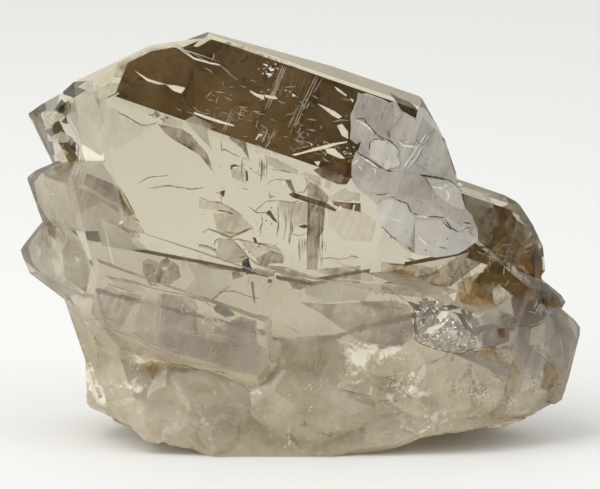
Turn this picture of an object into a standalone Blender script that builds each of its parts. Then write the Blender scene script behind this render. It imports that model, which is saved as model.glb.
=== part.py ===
"""Smoky quartz crystal: a flat group of parallel crystals on a broken, milky base.

Lengths are millimetres until a mesh is made. Points are given in the plate's own frame: X to the
right, V up the plate and W back through it. The plate leans back, so V and W are tilted from
the standing frame's Z and Y. A face is given by its direction: TURN is the way it faces within
the plate, anticlockwise from X, and TILT is its angle from facing straight out of the front.

All crystals lie parallel. Their prism faces m and rhombohedron faces r keep quartz's own
angles to the c axis, which runs down to the right across the plate.
"""

import math
import random

import bmesh
import bpy
from mathutils import Matrix, Vector

MM = 0.001

# How the plate stands, and how deep it is
LEAN_BACK = math.radians(10)
C_AXIS_DIP = 19
PLATE_DEPTH = 28

# Quartz: the angle between the c axis and the normal of a rhombohedron face
R_ANGLE = math.radians(51.8)

# The underside: how far the lowest lumps are cut away to leave a flat rest
REST_CUT = 0.1

# Edges shorter than this, left where faces nearly touch, are closed up
SMALLEST_EDGE = 0.02

BLOCK_REACH = 150


def facing(turn, tilt):
    """Outward normal of a face, in the plate's frame, from its turn and tilt in degrees."""
    turn, tilt = math.radians(turn), math.radians(tilt)
    return Vector((math.cos(turn) * math.sin(tilt), -math.cos(tilt), math.sin(turn) * math.sin(tilt)))


def from_crystal(along_c, tilt_up, out):
    """A direction with these parts along c, up across c and out of the front, in the plate's frame."""
    dip = math.radians(C_AXIS_DIP)
    c_axis = Vector((math.cos(dip), 0, -math.sin(dip)))
    across = Vector((math.sin(dip), 0, math.cos(dip)))
    return along_c * c_axis + tilt_up * across + out * Vector((0, -1, 0))


def prism_face(k):
    """Normal of m face k: 0 front, 1 front top, 2 back top, 3 back, 4 back bottom, 5 front bottom."""
    turn = math.radians(60 * k)
    return from_crystal(0, math.sin(turn), math.cos(turn))


def end_face(end, k):
    """Normal of r face k at the left end, -1, or at the right end, 1."""
    turn = math.radians(60 * k)
    wide = math.sin(R_ANGLE)
    return from_crystal(end * math.cos(R_ANGLE), wide * math.sin(turn), wide * math.cos(turn))


FRONT, FRONT_TOP, BACK_TOP, BACK, BACK_FOOT, FRONT_FOOT = [prism_face(k) for k in range(6)]
LEFT_ENDS = [end_face(-1, k) for k in range(6)]
RIGHT_ENDS = [end_face(1, k) for k in range(6)]


def ridge(point, turn, front_tilt, back_tilt):
    """The two faces that meet in an edge of the outline through a point."""
    return [(point, facing(turn, front_tilt)), (point, facing(turn, back_tilt))]


def convex_body(name, planes, collection):
    """A block cut by planes, each an (x, v, w) point and an outward normal."""
    bm = bmesh.new()
    bmesh.ops.create_cube(bm, size=2 * BLOCK_REACH)
    for (x, v, w), normal in planes:
        parts = bm.verts[:] + bm.edges[:] + bm.faces[:]
        bmesh.ops.bisect_plane(bm, geom=parts, dist=1e-6, plane_co=(x, w, v), plane_no=normal, clear_outer=True)
        bmesh.ops.holes_fill(bm, edges=[e for e in bm.edges if e.is_boundary], sides=0)
    bmesh.ops.remove_doubles(bm, verts=bm.verts, dist=1e-3)
    bmesh.ops.recalc_face_normals(bm, faces=bm.faces)
    return finish_mesh(name, bm, collection)


def finish_mesh(name, bm, collection):
    """Turns millimetres into metres and makes the object."""
    bmesh.ops.scale(bm, vec=(MM, MM, MM), verts=bm.verts)
    mesh = bpy.data.meshes.new(name)
    bm.to_mesh(mesh)
    bm.free()
    body = bpy.data.objects.new(name, mesh)
    collection.objects.link(body)
    return body


def rough_lump(name, centre, radii, points, seed, collection):
    """A broken lump: the convex hull of points scattered over an ellipsoid."""
    dice = random.Random(seed)
    bm = bmesh.new()
    for i in range(points):
        height = 1 - 2 * (i + 0.5) / points
        around = i * math.pi * (3 - math.sqrt(5)) + dice.uniform(-0.35, 0.35)
        ring = math.sqrt(1 - height * height)
        reach = dice.uniform(0.86, 1.06)
        spot = Vector((math.cos(around) * ring, math.sin(around) * ring, height)) * reach
        x, w, v = (c + r * s for c, r, s in zip((centre[0], centre[2], centre[1]),
                                                (radii[0], radii[2], radii[1]), spot))
        bm.verts.new((x, w, v))
    hull = bmesh.ops.convex_hull(bm, input=bm.verts[:])
    bmesh.ops.delete(bm, geom=hull["geom_interior"], context="VERTS")
    bmesh.ops.recalc_face_normals(bm, faces=bm.faces)
    return finish_mesh(name, bm, collection)


def boolean(body, other, operation):
    """Applies one exact Boolean to a body and removes the other object."""
    step = body.modifiers.new(operation.lower(), "BOOLEAN")
    step.operation = operation
    step.solver = "EXACT"
    step.object = other
    bpy.context.view_layer.update()
    graph = bpy.context.evaluated_depsgraph_get()
    mesh = bpy.data.meshes.new_from_object(body.evaluated_get(graph))
    body.modifiers.clear()
    body.data = mesh
    bpy.data.objects.remove(other)


def main_crystal():
    """The large doubly ended crystal behind the wide front window."""
    peak = (-13.6, 61.1, 1.4)
    return [
        ((0, 0, 0), FRONT),
        ((0, 0, PLATE_DEPTH), BACK),
        ((-0.5, 55.7, 0), FRONT_TOP),
        ((8.3, 54.9, 3.5), BACK_TOP),
        (peak, facing(76.6, 105)),
        (peak, LEFT_ENDS[1]),
        ((-13.6, 61.1, 2.2), facing(108.4, 97)),
        ((-21.2, 59.4, 1.6), facing(115.5, 97)),
        ((-29.4, 50.5, 0), facing(194.5, 42)),
        *ridge((-33.2, 46, 6), 192, 60, 97),
        *ridge((-33.5, 41, 8), 208.8, 66.9, 98),
        ((-34, 40, PLATE_DEPTH), LEFT_ENDS[3]),
        ((15.7, 45, 0), RIGHT_ENDS[0]),
        *ridge((17.5, 50.8, 3.2), 29, 66.9, 108),
        ((21.1, 45.5, 3.4), facing(20, 100)),
        ((25.6, 33.3, 9), facing(26, 100)),
        ((23, 36, PLATE_DEPTH), RIGHT_ENDS[3]),
        ((0, 12, 0), FRONT_FOOT),
        ((0, 10, PLATE_DEPTH), BACK_FOOT),
    ]


def left_lobe():
    """The low growth plate that makes the first shoulder of the outline."""
    return [
        ((-29.4, 50.5, -0.8), facing(-10, 2.8)),
        ((0, 0, PLATE_DEPTH - 1), BACK),
        ((-11.8, 56.3, -0.7), FRONT_TOP),
        ((8.3, 54.9, 3.5), BACK_TOP),
        *ridge((-21.2, 59.6, 1.6), 115.5, 66, 97),
        *ridge((-18.7, 59.7, 1.6), 98.7, 66, 97),
        ((-29.4, 50.5, -0.8), facing(194.5, 42)),
        *ridge((-33.6, 46, 5), 190, 60, 97),
        *ridge((-33.8, 41, 7), 208.8, 66.9, 98),
        ((-34, 42, PLATE_DEPTH - 1), LEFT_ENDS[3]),
        ((-5, 50, 4), facing(0, 100)),
        ((-20, 28, -0.8), FRONT_FOOT),
        ((-20, 24, 17), BACK_FOOT),
    ]


def left_tip():
    """The small crystal that carries the upper left tip, set back behind the lobe's end."""
    return [
        ((0, 0, 2.6), FRONT),
        ((0, 0, 15), BACK),
        *ridge((-39.9, 49.5, 6.5), 126, 62, 110),
        *ridge((-36.1, 52.1, 5.5), 114.6, 62, 108),
        *ridge((-39.9, 49.5, 6.5), 206.6, 60, 112),
        ((-36.2, 47.3, 2.6), LEFT_ENDS[0]),
        ((-38.0, 48.5, 15), LEFT_ENDS[3]),
        ((-20, 40, 8), facing(0, 90)),
        ((-20, 35, 8), facing(-90, 90)),
    ]


def second_tip():
    """The crystal under the upper left tip, with its own tip and a stepped front."""
    return [
        ((-34.6, 35, -0.3), facing(-10, 1.5)),
        ((0, 0, 18), BACK),
        *ridge((-39.2, 41.1, 5), 113.2, 60, 108),
        ((-32.0, 35.5, -0.3), facing(194.5, 40)),
        *ridge((-39.9, 40.4, 6), 155, 55, 115),
        *ridge((-39.8, 39.5, 6), 199.8, 52, 115),
        ((-22, 46, -0.3), FRONT_TOP),
        ((-22, 50, 12), BACK_TOP),
        ((-20, 21, -0.3), FRONT_FOOT),
        ((-20, 19, 18), BACK_FOOT),
        ((0, 30, 5), facing(0, 90)),
    ]


def third_tip():
    """The lowest crystal on the left, broken along its foot."""
    return [
        ((-34, 28, 0.4), facing(-30, 2)),
        ((0, 0, 19), BACK),
        *ridge((-41.0, 29.8, 5), 142, 58, 110),
        *ridge((-40.8, 29.3, 5), 203, 52, 112),
        *ridge((-38.7, 25.8, 5), 233, 58, 110),
        ((-34.5, 28, 0.4), facing(185, 38)),
        ((-36, 31, 0.4), FRONT_TOP),
        ((-35, 33, 4.5), BACK_TOP),
        ((-20, 12, 0.4), FRONT_FOOT),
        ((-10, 20, 5), facing(0, 90)),
        ((-10, 10, 5), facing(-90, 95)),
    ]


def right_crystal():
    """The brown crystal right of the main one, set back behind its end face."""
    return [
        ((0, 0, 4), FRONT),
        ((0, 0, 25), BACK),
        ((27.1, 36.5, 4), FRONT_TOP),
        ((27, 38.6, 7), BACK_TOP),
        *ridge((31.0, 36.9, 6), 55, 66, 108),
        *ridge((33.3, 33.3, 7), 33, 60, 112),
        *ridge((35.6, 26.9, 8), 15, 58, 112),
        *ridge((35.6, 26.7, 8), -42, 62, 112),
        ((28.3, 27, 4), RIGHT_ENDS[0]),
        ((26, 24, 25), RIGHT_ENDS[3]),
        ((10, 14, 4), FRONT_FOOT),
        ((10, 12, 25), BACK_FOOT),
        ((8, 0, 4), facing(180, 90)),
    ]


def dark_corner_crystal():
    """The small dark crystal between the brown and the clear one."""
    return [
        ((0, 0, 3), FRONT),
        ((0, 0, 18), BACK),
        *ridge((38.1, 22.6, 7), 50, 60, 112),
        *ridge((38.1, 21.9, 7), -35, 55, 112),
        ((31.5, 22, 3), RIGHT_ENDS[0]),
        ((20, 12, 3), FRONT_FOOT),
        ((16, 0, 3), facing(180, 90)),
        ((16, 10, 3), facing(-90, 90)),
    ]


def lower_right_crystal():
    """The clear crystal at the lower right, with its end facing right."""
    return [
        ((0, 0, 3.5), FRONT),
        ((0, 0, 22), BACK),
        ((28, 24, 3.5), FRONT_TOP),
        ((27, 27, 9), BACK_TOP),
        *ridge((39.9, 19.2, 7), 50.5, 60, 108),
        *ridge((40.6, 17.5, 7), 6, 52, 112),
        *ridge((40.6, 17.5, 7), -13, 55, 112),
        *ridge((38.3, 9.0, 7), -24, 55, 112),
        *ridge((36.7, 7.5, 7), -66, 60, 105),
        ((33.5, 17, 3.5), RIGHT_ENDS[0]),
        ((31, 14, 22), RIGHT_ENDS[3]),
        ((20, 2, 3.5), FRONT_FOOT),
        ((5, 0, 3), facing(180, 90)),
    ]


def middle_crystal():
    """The crystal low on the right whose tip shows in front of the base."""
    return [
        ((24, 19, -0.9), facing(161, 2.2)),
        ((0, 0, 12), BACK),
        ((20, 22.3, -0.9), FRONT_TOP),
        ((20, 12.5, -0.9), FRONT_FOOT),
        *ridge((29.6, 17.5, 3), 22, 52, 110),
        *ridge((29.6, 17.0, 3), -62, 60, 110),
        ((23.5, 19, -0.9), RIGHT_ENDS[0]),
        ((-3, 0, 0), facing(180, 90)),
    ]


def window_ledge():
    """A thin growth plate low on the main face: its top edge stands proud, its foot runs out flush."""
    return [
        ((-17, 31, -0.5), facing(-109, 1.5)),
        ((0, 0, 3), BACK),
        ((-21, 31.5, -0.5), FRONT_TOP),
        ((-27.5, 30, -0.5), facing(194.5, 42)),
        ((-5, 26, -0.5), RIGHT_ENDS[0]),
        ((-20, 16, 4), facing(-109, 90)),
    ]


def middle_ledge():
    """The next growth plate, further right and set lower on the face."""
    return [
        ((5, 25, -0.45), facing(-104, 1.6)),
        ((0, 0, 3), BACK),
        ((5, 25, -0.45), facing(80, 60)),
        ((-4, 25, -0.45), facing(176, 50)),
        ((16, 24, -0.45), facing(10, 50)),
        ((5, 10, 4), facing(-104, 90)),
    ]


def front_band():
    """The tan plate across the lower front, ending in a blunt corner."""
    return [
        ((-6, 14, -1.5), facing(120, 1.6)),
        ((0, 0, 10), BACK),
        ((-14.8, 22.8, -1.2), FRONT_TOP),
        ((-16.3, 13.7, -1.5), facing(258, 50)),
        ((-4.8, 14, -1.5), facing(10, 55)),
        ((-5.6, 12.8, -1.5), facing(-40, 55)),
        *ridge((-31.6, 19.5, 1.5), 218, 55, 110),
        ((-30, 22, -1.2), facing(170, 50)),
    ]


def back_left_plate():
    """A broad growth plate on the back at the left, whose top edge ends the clear window."""
    return [
        ((0, 0, 14), FRONT),
        ((-14, 28, 28.8), facing(85, 178.8)),
        ((-17.3, 28.4, 28.8), facing(79, 124)),
        ((-32.6, 22, 15), facing(188, 97)),
        ((-31.8, 14, 15), facing(204, 99)),
        ((9, 20, 28.8), facing(-12, 140)),
        ((0, 4, 29), BACK_FOOT),
        ((0, 1, 20), facing(-90, 90)),
    ]


def back_right_plate():
    """The growth plate beside it on the back, which reaches under the satin end."""
    return [
        ((0, 0, 22), FRONT),
        ((12, 26, 28.9), facing(98, 178.6)),
        ((13, 27, 28.9), facing(101, 124)),
        ((26, 22, 24), facing(14, 108)),
        ((29, 12, 24), facing(-40, 106)),
        ((-3, 20, 28.9), facing(188, 140)),
        ((0, 5, 30), BACK_FOOT),
        ((0, 1, 20), facing(-90, 90)),
    ]


def back_left_step():
    """A second, thicker plate lower on the back at the left."""
    return [
        ((0, 0, 20), FRONT),
        ((-16, 19, 29.9), facing(80, 178.4)),
        ((-16, 19.6, 29.9), facing(76, 124)),
        ((-29, 14, 26), facing(196, 110)),
        ((-4, 14, 29.9), facing(-20, 140)),
        ((0, 5, 30), BACK_FOOT),
        ((0, 1, 22), facing(-90, 90)),
    ]


def back_right_step():
    """A second, thicker plate lower on the back at the right."""
    return [
        ((0, 0, 20), FRONT),
        ((13, 18, 30.4), facing(99, 178.2)),
        ((13, 18.6, 30.4), facing(103, 124)),
        ((26, 14, 26), facing(4, 112)),
        ((3, 14, 30.4), facing(184, 140)),
        ((0, 6, 30.4), BACK_FOOT),
        ((0, 1, 22), facing(-90, 90)),
    ]


def base_slab():
    """The broken root that the crystals stand on."""
    return [
        ((0, 0, 0.4), FRONT),
        ((0, 0, 27), BACK),
        *ridge((-32.3, 16.1, 5), 199, 42, 108),
        *ridge((-29.5, 6.7, 6), 234, 50, 105),
        ((0, 13, 0.4), FRONT_TOP),
        ((0, 15, 18), BACK_TOP),
        *ridge((13.4, 1.0, 4), -78, 70, 95),
        *ridge((29.9, 3.9, 6), -54, 60, 105),
        ((36, 9, 9), facing(-10, 80)),
    ]


CRYSTALS = {
    "left_lobe": left_lobe,
    "left_tip": left_tip,
    "second_tip": second_tip,
    "third_tip": third_tip,
    "right_crystal": right_crystal,
    "dark_corner_crystal": dark_corner_crystal,
    "lower_right_crystal": lower_right_crystal,
    "middle_crystal": middle_crystal,
    "window_ledge": window_ledge,
    "middle_ledge": middle_ledge,
    "front_band": front_band,
    "back_left_plate": back_left_plate,
    "back_right_plate": back_right_plate,
    "back_left_step": back_left_step,
    "back_right_step": back_right_step,
    "base_slab": base_slab,
}

# Lumps of the broken base: centre, radii along X, V and W, and how many corners each hull has
LUMPS = {
    "left_foot": ((-26.6, 10.4, 12.5), (7.2, 5.2, 7), 26),
    "front_left_bulge": ((-15, 8.5, 5), (13, 8.5, 7), 40),
    "front_middle_bulge": ((1, 7.5, 4.5), (13, 8.0, 6.5), 40),
    "front_rest": ((-12.2, 4.0, 2.0), (4.8, 4.4, 3.4), 22),
    "front_right_bulge": ((18, 11, 5), (13, 8.5, 7), 40),
    "right_foot": ((29, 9.5, 10), (7.2, 5.2, 7), 26),
    "back_left_bulge": ((-15, 6.5, 22.5), (13, 6, 9.5), 30),
    "back_right_bulge": ((12, 7.5, 23.5), (15, 6.5, 9.5), 34),
}

# Shell-shaped fractures: centre and radius of the ball that leaves each one
SCOOPS = {
    "white_chip": ((12.3, 12.8, -12.6), 12.9),
    "low_left": ((-24, 3, -14.5), 16.0),
    "low_middle": ((-7, 3.2, -19.3), 19.6),
    "low_right": ((24, 6.5, -15), 16.4),
    "under_right": ((27, -10.5, 6), 15),
    "under_right_front": ((24.5, -25.8, 7), 30),
    "under_left_front": ((-20.3, -11.2, 6), 14),
    "under_left_foot": ((-30.5, -4.5, 9), 11),
    "left_side": ((-45.5, 9, 13), 14.5),
    "back_hollow": ((-4, 4, 45.5), 17),
}


def clear_scene():
    for obj in list(bpy.data.objects):
        bpy.data.objects.remove(obj)


def ball(name, centre, radius, collection):
    """A cutter for a shell-shaped fracture."""
    bm = bmesh.new()
    bmesh.ops.create_uvsphere(bm, u_segments=28, v_segments=18, radius=radius)
    x, v, w = centre
    bmesh.ops.rotate(bm, verts=bm.verts, cent=(0, 0, 0), matrix=Matrix.Rotation(1.1, 3, "X"))
    bmesh.ops.translate(bm, verts=bm.verts, vec=(x, w, v))
    return finish_mesh(name, bm, collection)


def stand_up(crystal):
    """Leans the plate back, cuts its lowest lumps off flat, and centres it on the standing frame's origin."""
    bm = bmesh.new()
    bm.from_mesh(crystal.data)
    bm.transform(Matrix.Rotation(-LEAN_BACK, 4, "X"))
    parts = bm.verts[:] + bm.edges[:] + bm.faces[:]
    bmesh.ops.bisect_plane(bm, geom=parts, dist=1e-8, plane_co=(0, 0, REST_CUT * MM), plane_no=(0, 0, -1),
                           clear_outer=True)
    bmesh.ops.holes_fill(bm, edges=[e for e in bm.edges if e.is_boundary], sides=0)
    lows = [min(v.co[i] for v in bm.verts) for i in range(3)]
    highs = [max(v.co[i] for v in bm.verts) for i in range(3)]
    centre = Vector(((lows[0] + highs[0]) / 2, (lows[1] + highs[1]) / 2, lows[2]))
    bmesh.ops.translate(bm, verts=bm.verts, vec=-centre)
    bmesh.ops.dissolve_degenerate(bm, edges=bm.edges, dist=SMALLEST_EDGE * MM)
    bmesh.ops.triangulate(bm, faces=bm.faces)
    bm.to_mesh(crystal.data)
    bm.free()


def quartz_material():
    """Smoky quartz: brown-grey, polished by growth, and clear except where it is milky."""
    material = bpy.data.materials.new("smoky_quartz")
    material.use_nodes = True
    shader = material.node_tree.nodes["Principled BSDF"]
    shader.inputs["Base Color"].default_value = (0.42, 0.36, 0.27, 1)
    shader.inputs["Roughness"].default_value = 0.08
    shader.inputs["Metallic"].default_value = 0
    shader.inputs["IOR"].default_value = 1.544
    shader.inputs["Transmission Weight"].default_value = 0.85
    material.diffuse_color = (0.42, 0.36, 0.27, 1)
    return material


def main():
    clear_scene()
    group = bpy.data.collections.new("smoky_quartz_crystal_parts")
    bpy.context.scene.collection.children.link(group)
    crystal = convex_body("smoky_quartz_crystal", main_crystal(), group)
    for name, planes in CRYSTALS.items():
        boolean(crystal, convex_body(name, planes(), group), "UNION")
    for seed, (name, (centre, radii, points)) in enumerate(LUMPS.items()):
        boolean(crystal, rough_lump(name, centre, radii, points, seed, group), "UNION")
    for name, (centre, radius) in SCOOPS.items():
        boolean(crystal, ball(name, centre, radius, group), "DIFFERENCE")
    stand_up(crystal)
    crystal.data.materials.clear()
    crystal.data.materials.append(quartz_material())


main()
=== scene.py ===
import math
import random

import bmesh
import bpy
from mathutils import Matrix, Vector, geometry, noise
from mathutils.bvhtree import BVHTree


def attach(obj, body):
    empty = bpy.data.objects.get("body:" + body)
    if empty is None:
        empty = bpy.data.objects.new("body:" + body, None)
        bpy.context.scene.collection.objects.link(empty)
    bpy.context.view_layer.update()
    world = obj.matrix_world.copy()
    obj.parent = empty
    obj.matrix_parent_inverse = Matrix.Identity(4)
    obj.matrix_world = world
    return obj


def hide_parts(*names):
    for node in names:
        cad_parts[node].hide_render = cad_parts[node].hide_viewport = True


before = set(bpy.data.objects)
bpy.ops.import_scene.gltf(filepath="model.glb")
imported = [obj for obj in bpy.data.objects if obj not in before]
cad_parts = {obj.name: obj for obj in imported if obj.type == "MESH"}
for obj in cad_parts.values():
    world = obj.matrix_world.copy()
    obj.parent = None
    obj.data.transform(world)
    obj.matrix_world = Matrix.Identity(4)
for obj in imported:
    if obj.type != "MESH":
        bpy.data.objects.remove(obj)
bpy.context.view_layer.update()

bl_info = {
    "name": "Smoky Quartz Crystal",
    "version": (1, 0, 0),
    "blender": (4, 5, 0),
    "location": "3D View > Sidebar > Quartz",
    "description": "Dresses a faceted smoky quartz group with clear, milky and fractured quartz",
    "category": "Object",
}

MM = 0.001
NODE = "smoky_quartz_crystal"
BODY = "root"

# The plate's own frame, in millimetres: X right, V up the plate, W back through it. The plate leans
# back, and its frame's origin lies at PLATE_ORIGIN in the standing frame. Pieces are meshed in the
# plate's frame as (x, w, v) and then stood up. All sizes below are millimetres, if not said otherwise.
LEAN_BACK = math.radians(10)
PLATE_ORIGIN = Vector((0.367, -18.139, -0.1))
STAND_UP = Matrix.Translation(PLATE_ORIGIN * MM) @ Matrix.Rotation(-LEAN_BACK, 4, "X")
LAY_DOWN = STAND_UP.inverted()

# The c axis dips to the right across the plate; growth lines on the prism faces run square to it
C_AXIS_DIP = math.radians(19)
UP_PLATE = Vector((math.sin(C_AXIS_DIP), 0, math.cos(C_AXIS_DIP)))

# The view: its middle and depth in the plate's frame, how far off the eye is, and how wide the view is
# there. Things look nearer through quartz.
VIEW_X, VIEW_V, VIEW_W = -0.5, 30.6, 6
VIEW_DISTANCE = 600
VIEW_WIDTH = 86.8
QUARTZ_IOR = 1.544

# The satin plate: how high its growth layers stand, its outline, the upper layer's outline, which
# shares the plate's left end and top, and the thin layers on that, each with its paleness
SATIN_HEIGHT = 0.22
SATIN_UPPER_HEIGHT = 0.35
SATIN_LAYER_HEIGHT = 0.12
SATIN = [(7.9, 52.4), (7.3, 50.4), (6.7, 49.1), (6.8, 47.2), (6.6, 45.7), (7.6, 44.9), (8.2, 45.3),
    (7.9, 44), (7.4, 43.8), (6.9, 42.3), (6.8, 40.9), (7.1, 39.7), (7.7, 38.6), (9.1, 37.5), (10.3, 36.5),
    (10.3, 35.1), (10.9, 33.8), (12.5, 32), (14.2, 30.3), (16.6, 29.1), (19, 28.8), (21.4, 29.1),
    (23.4, 29.8), (25.1, 31.2), (25.2, 32.7), (24.9, 33.4), (24.1, 35.1), (23.4, 35.7), (22.5, 39),
    (21.4, 42.3), (20.5, 45.1), (19, 48), (17.9, 49.6), (17.2, 50.4), (16.4, 50.1), (16.1, 48.7), (15.4, 49),
    (14.1, 49.8), (13.3, 51), (12.8, 51), (12.3, 50.9), (11.3, 51.5), (9.9, 52), (8.9, 52.3), (8.3, 52.1)]
SATIN_LEFT, SATIN_TOP = SATIN[:15], SATIN[25:]
SATIN_UPPER = SATIN_LEFT + [
    (11.1, 37.5), (12.5, 37.5), (14.2, 36.7), (15, 36.5), (15.5, 35.3), (16.7, 34.6), (17.8, 34.6),
    (19, 34.6), (20.2, 34.5), (20.7, 33.9), (21.2, 32.9), (22.4, 32.3), (23.9, 33)] + SATIN_TOP
SATIN_LAYERS = {
    "slab_a": (0.05, [(8.3, 51.9), (12.4, 50.8), (14.1, 49.5), (12.6, 47.2), (11.6, 45.8), (10.3, 46.4),
        (9.4, 47.6), (7.7, 48.6), (7.1, 49.8)]),
    "slab_b": (0.25, [(12.9, 50.8), (15.9, 48.5), (18.1, 46.6), (17.2, 44.9), (15.2, 45.1), (13.5, 45.6),
        (12.3, 46.6), (12.9, 48.6)]),
    "lens": (0.55, [(9.5, 45.4), (11.8, 45.7), (13.4, 44.3), (13.8, 41.9), (11.8, 41.3), (9.7, 43.1),
        (9.2, 44.1)]),
    "slab_c": (0.45, [(17.7, 40.2), (21.4, 39.6), (22.8, 37.8), (23.2, 35.6), (21.4, 36.1), (19.5, 37.5),
        (18.2, 39)]),
    "slab_d": (0.2, [(7.2, 43.5), (9.4, 42.6), (11.8, 41.1), (14.7, 40.9), (16.6, 40.4), (17.1, 39),
        (14.9, 37.8), (11.8, 38), (9.1, 38), (7.5, 39.7)]),
    "slab_e": (0.35, [(19, 47.4), (20.2, 44.8), (21.2, 42.3), (20, 40.6), (18.1, 40.9), (16.1, 42.3),
        (17.1, 44.5)]),
}

# The broken base: up to where it is broken, and how much that edge wanders; from where down the
# fracture fades in, and over how much height; how it fades out at the foot, which stays flat; up to
# where its faces are shaded smooth, and from what angle on an edge stays sharp; how deep its front
# reaches; and how wide the flats of the fracture are, in three sizes
BROKEN_TOP, BROKEN_WANDER = 12.5, 3
FADE_TOP, FADE_HEIGHT = 14, 4
FOOT_TOP, FOOT_HEIGHT = 0.02, 2
SMOOTH_TOP = 13
CREASE = math.radians(24)
BASE_FRONT = 12
SHELLS, HACKLES, SPLINTERS = 9, 3.6, 1.5

# The shell-shaped chip at the front of the base: its middle, radius and depth, and the height of the
# ribs in it and how close they are
CHIP = Vector((11.4, 13.6))
CHIP_RADIUS = 4.5
CHIP_DEPTH = 0.9
RIB_HEIGHT, RIB_RATE = 0.1, 5.5

# Smooth top of the chip, whitened strongly: partly fresh, white fracture, partly painted glare
CHIP_TOP = [(6.1, 15), (7.6, 16.1), (10.5, 16.6), (13.4, 16.3), (16, 15.5), (14.5, 14.3), (11.6, 13.7),
    (9.3, 12.4), (8.5, 10.7), (7, 10.4), (6.3, 12.7)]

# The silver fracture low on the right: its outline, and the mesh size of its crumpled sheet
SILVER = [(15.7, 22.1), (17, 22.6), (18.7, 23.1), (20.8, 24.4), (21.3, 23.9), (20.5, 22.1), (21.6, 20.8),
    (23.1, 19.4), (24.8, 17.6), (25.2, 16.5), (23.5, 15.3), (20.6, 15), (17.7, 16.1), (15.7, 17.1),
    (15.1, 19), (16, 20.4)]
SILVER_STEP = 0.42

# Depths before the front of the quartz and behind its back, from which rays are sent to find them
BEFORE, BEHIND = -30, 60

# Soft lights: where they stand and how wide they are, in metres, and their power in watts
LIGHTS = {
    "key": ((-0.5, -0.25, 0.8), 0.7, 3.2),
    "fill": ((0.7, -0.4, 0.5), 0.6, 1.0),
    "side": ((-0.6, -0.4, 0.2), 0.5, 1.7),
}
LIT_SPOT = Vector((0, 0, 0.03))

# Flat facets inside the quartz, as outlines (x, v) in the plate's frame; a third value thins a corner
DARK_FACETS = {
    "dark_corner": [(33.9, 25.3), (37.2, 22.6), (37.2, 22), (35.2, 21), (34.2, 23.9)],
    "corner_block": [(31.3, 29.7), (33.6, 30.8), (35.1, 27.6), (34.8, 26.5), (33.4, 25.5), (31.9, 27.2)],
    "corner_block_edge": [(31.3, 29.7, 0.2), (32, 27.2), (33.4, 25.5), (33.1, 26.2, 0.3)],
    # Painted shade: the three silver gaps are dark paint along the edges of the silver fracture
    "silver_gap": [(21.2, 21), (22.6, 20.7), (23.5, 19.2), (24.8, 17.5), (24.1, 17.6), (22.9, 18.9),
        (22.1, 20.4)],
    "silver_top_gap": [(14.8, 22.5), (15.7, 22.3), (16.4, 21.9), (17, 21), (16.1, 21.1), (15.4, 21.9)],
    "silver_left_gap": [(15.8, 19.8), (16.3, 18.9), (16.6, 17.8), (16, 17.6), (15.7, 18.9)],
    "gable": [(-5, 35.5), (-4.7, 35.4), (-3.6, 33.6), (-4.4, 34.1), (-4.9, 34.7), (-5.4, 35)],
    "notch": [(-12, 38.2), (-11.2, 38.4), (-11.4, 37.4), (-11.7, 37.6)],
    "drop": [(-8.3, 41.3), (-8, 41.1), (-7.9, 39.7), (-8.2, 39.7)],
    "angle": [(-10.5, 41.3), (-10.4, 42), (-9.8, 42.1), (-8.8, 41.7), (-9.6, 41.8), (-10.1, 41.7),
        (-10.3, 41.4)],
    "bead": [(-0.8, 33.2), (0.1, 33.5), (0.5, 33.4), (0.5, 33), (-0, 32.9)],
    "knot": [(-8.8, 27.9), (-8, 28.1), (-7.3, 27.1), (-7.5, 26.4), (-8.2, 26.4), (-8.7, 27.1)],
    "foot_mark": [(-7.3, 31.7), (-6.9, 31.6), (-6.5, 30.8), (-5.1, 30.5), (-5.8, 30.4), (-7, 30.8)],
    "wedge_over_the_satin": [(12.3, 52.2), (13.7, 51.5), (15.2, 51), (16.1, 50.2), (16, 48.7), (14.9, 49.1),
        (14.1, 49.9), (13.2, 51)],
    "tip_dark_a": [(-35.7, 50), (-34.9, 51.5), (-34.2, 50.9), (-34.5, 49.5), (-35.2, 49.6)],
    "tip_dark_b": [(-34.9, 48.2), (-34.1, 49.2), (-33.9, 47.9)],
    "tip_dark_c": [(-36.7, 45.6), (-36.1, 45.4), (-35.8, 43.5), (-36.4, 43.8)],
    "tip_dark_d": [(-33.1, 45.4), (-32.8, 45.3), (-32.7, 43.8), (-33.5, 44.6)],
    "tall_mark": [(-7.5, 25.3), (-7.2, 25.2), (-6.9, 22.1), (-7.2, 22.6)],
    "mark_cluster": [(-8.8, 28.2), (-7.9, 28.8), (-7.5, 27.3), (-8, 26.2), (-8.6, 26.8)],
    "ledge_end": [(-12.9, 21.6), (-12.1, 22.1), (-10.1, 21), (-9.8, 20.4), (-11.1, 20.2), (-12.6, 21)],
}
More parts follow.
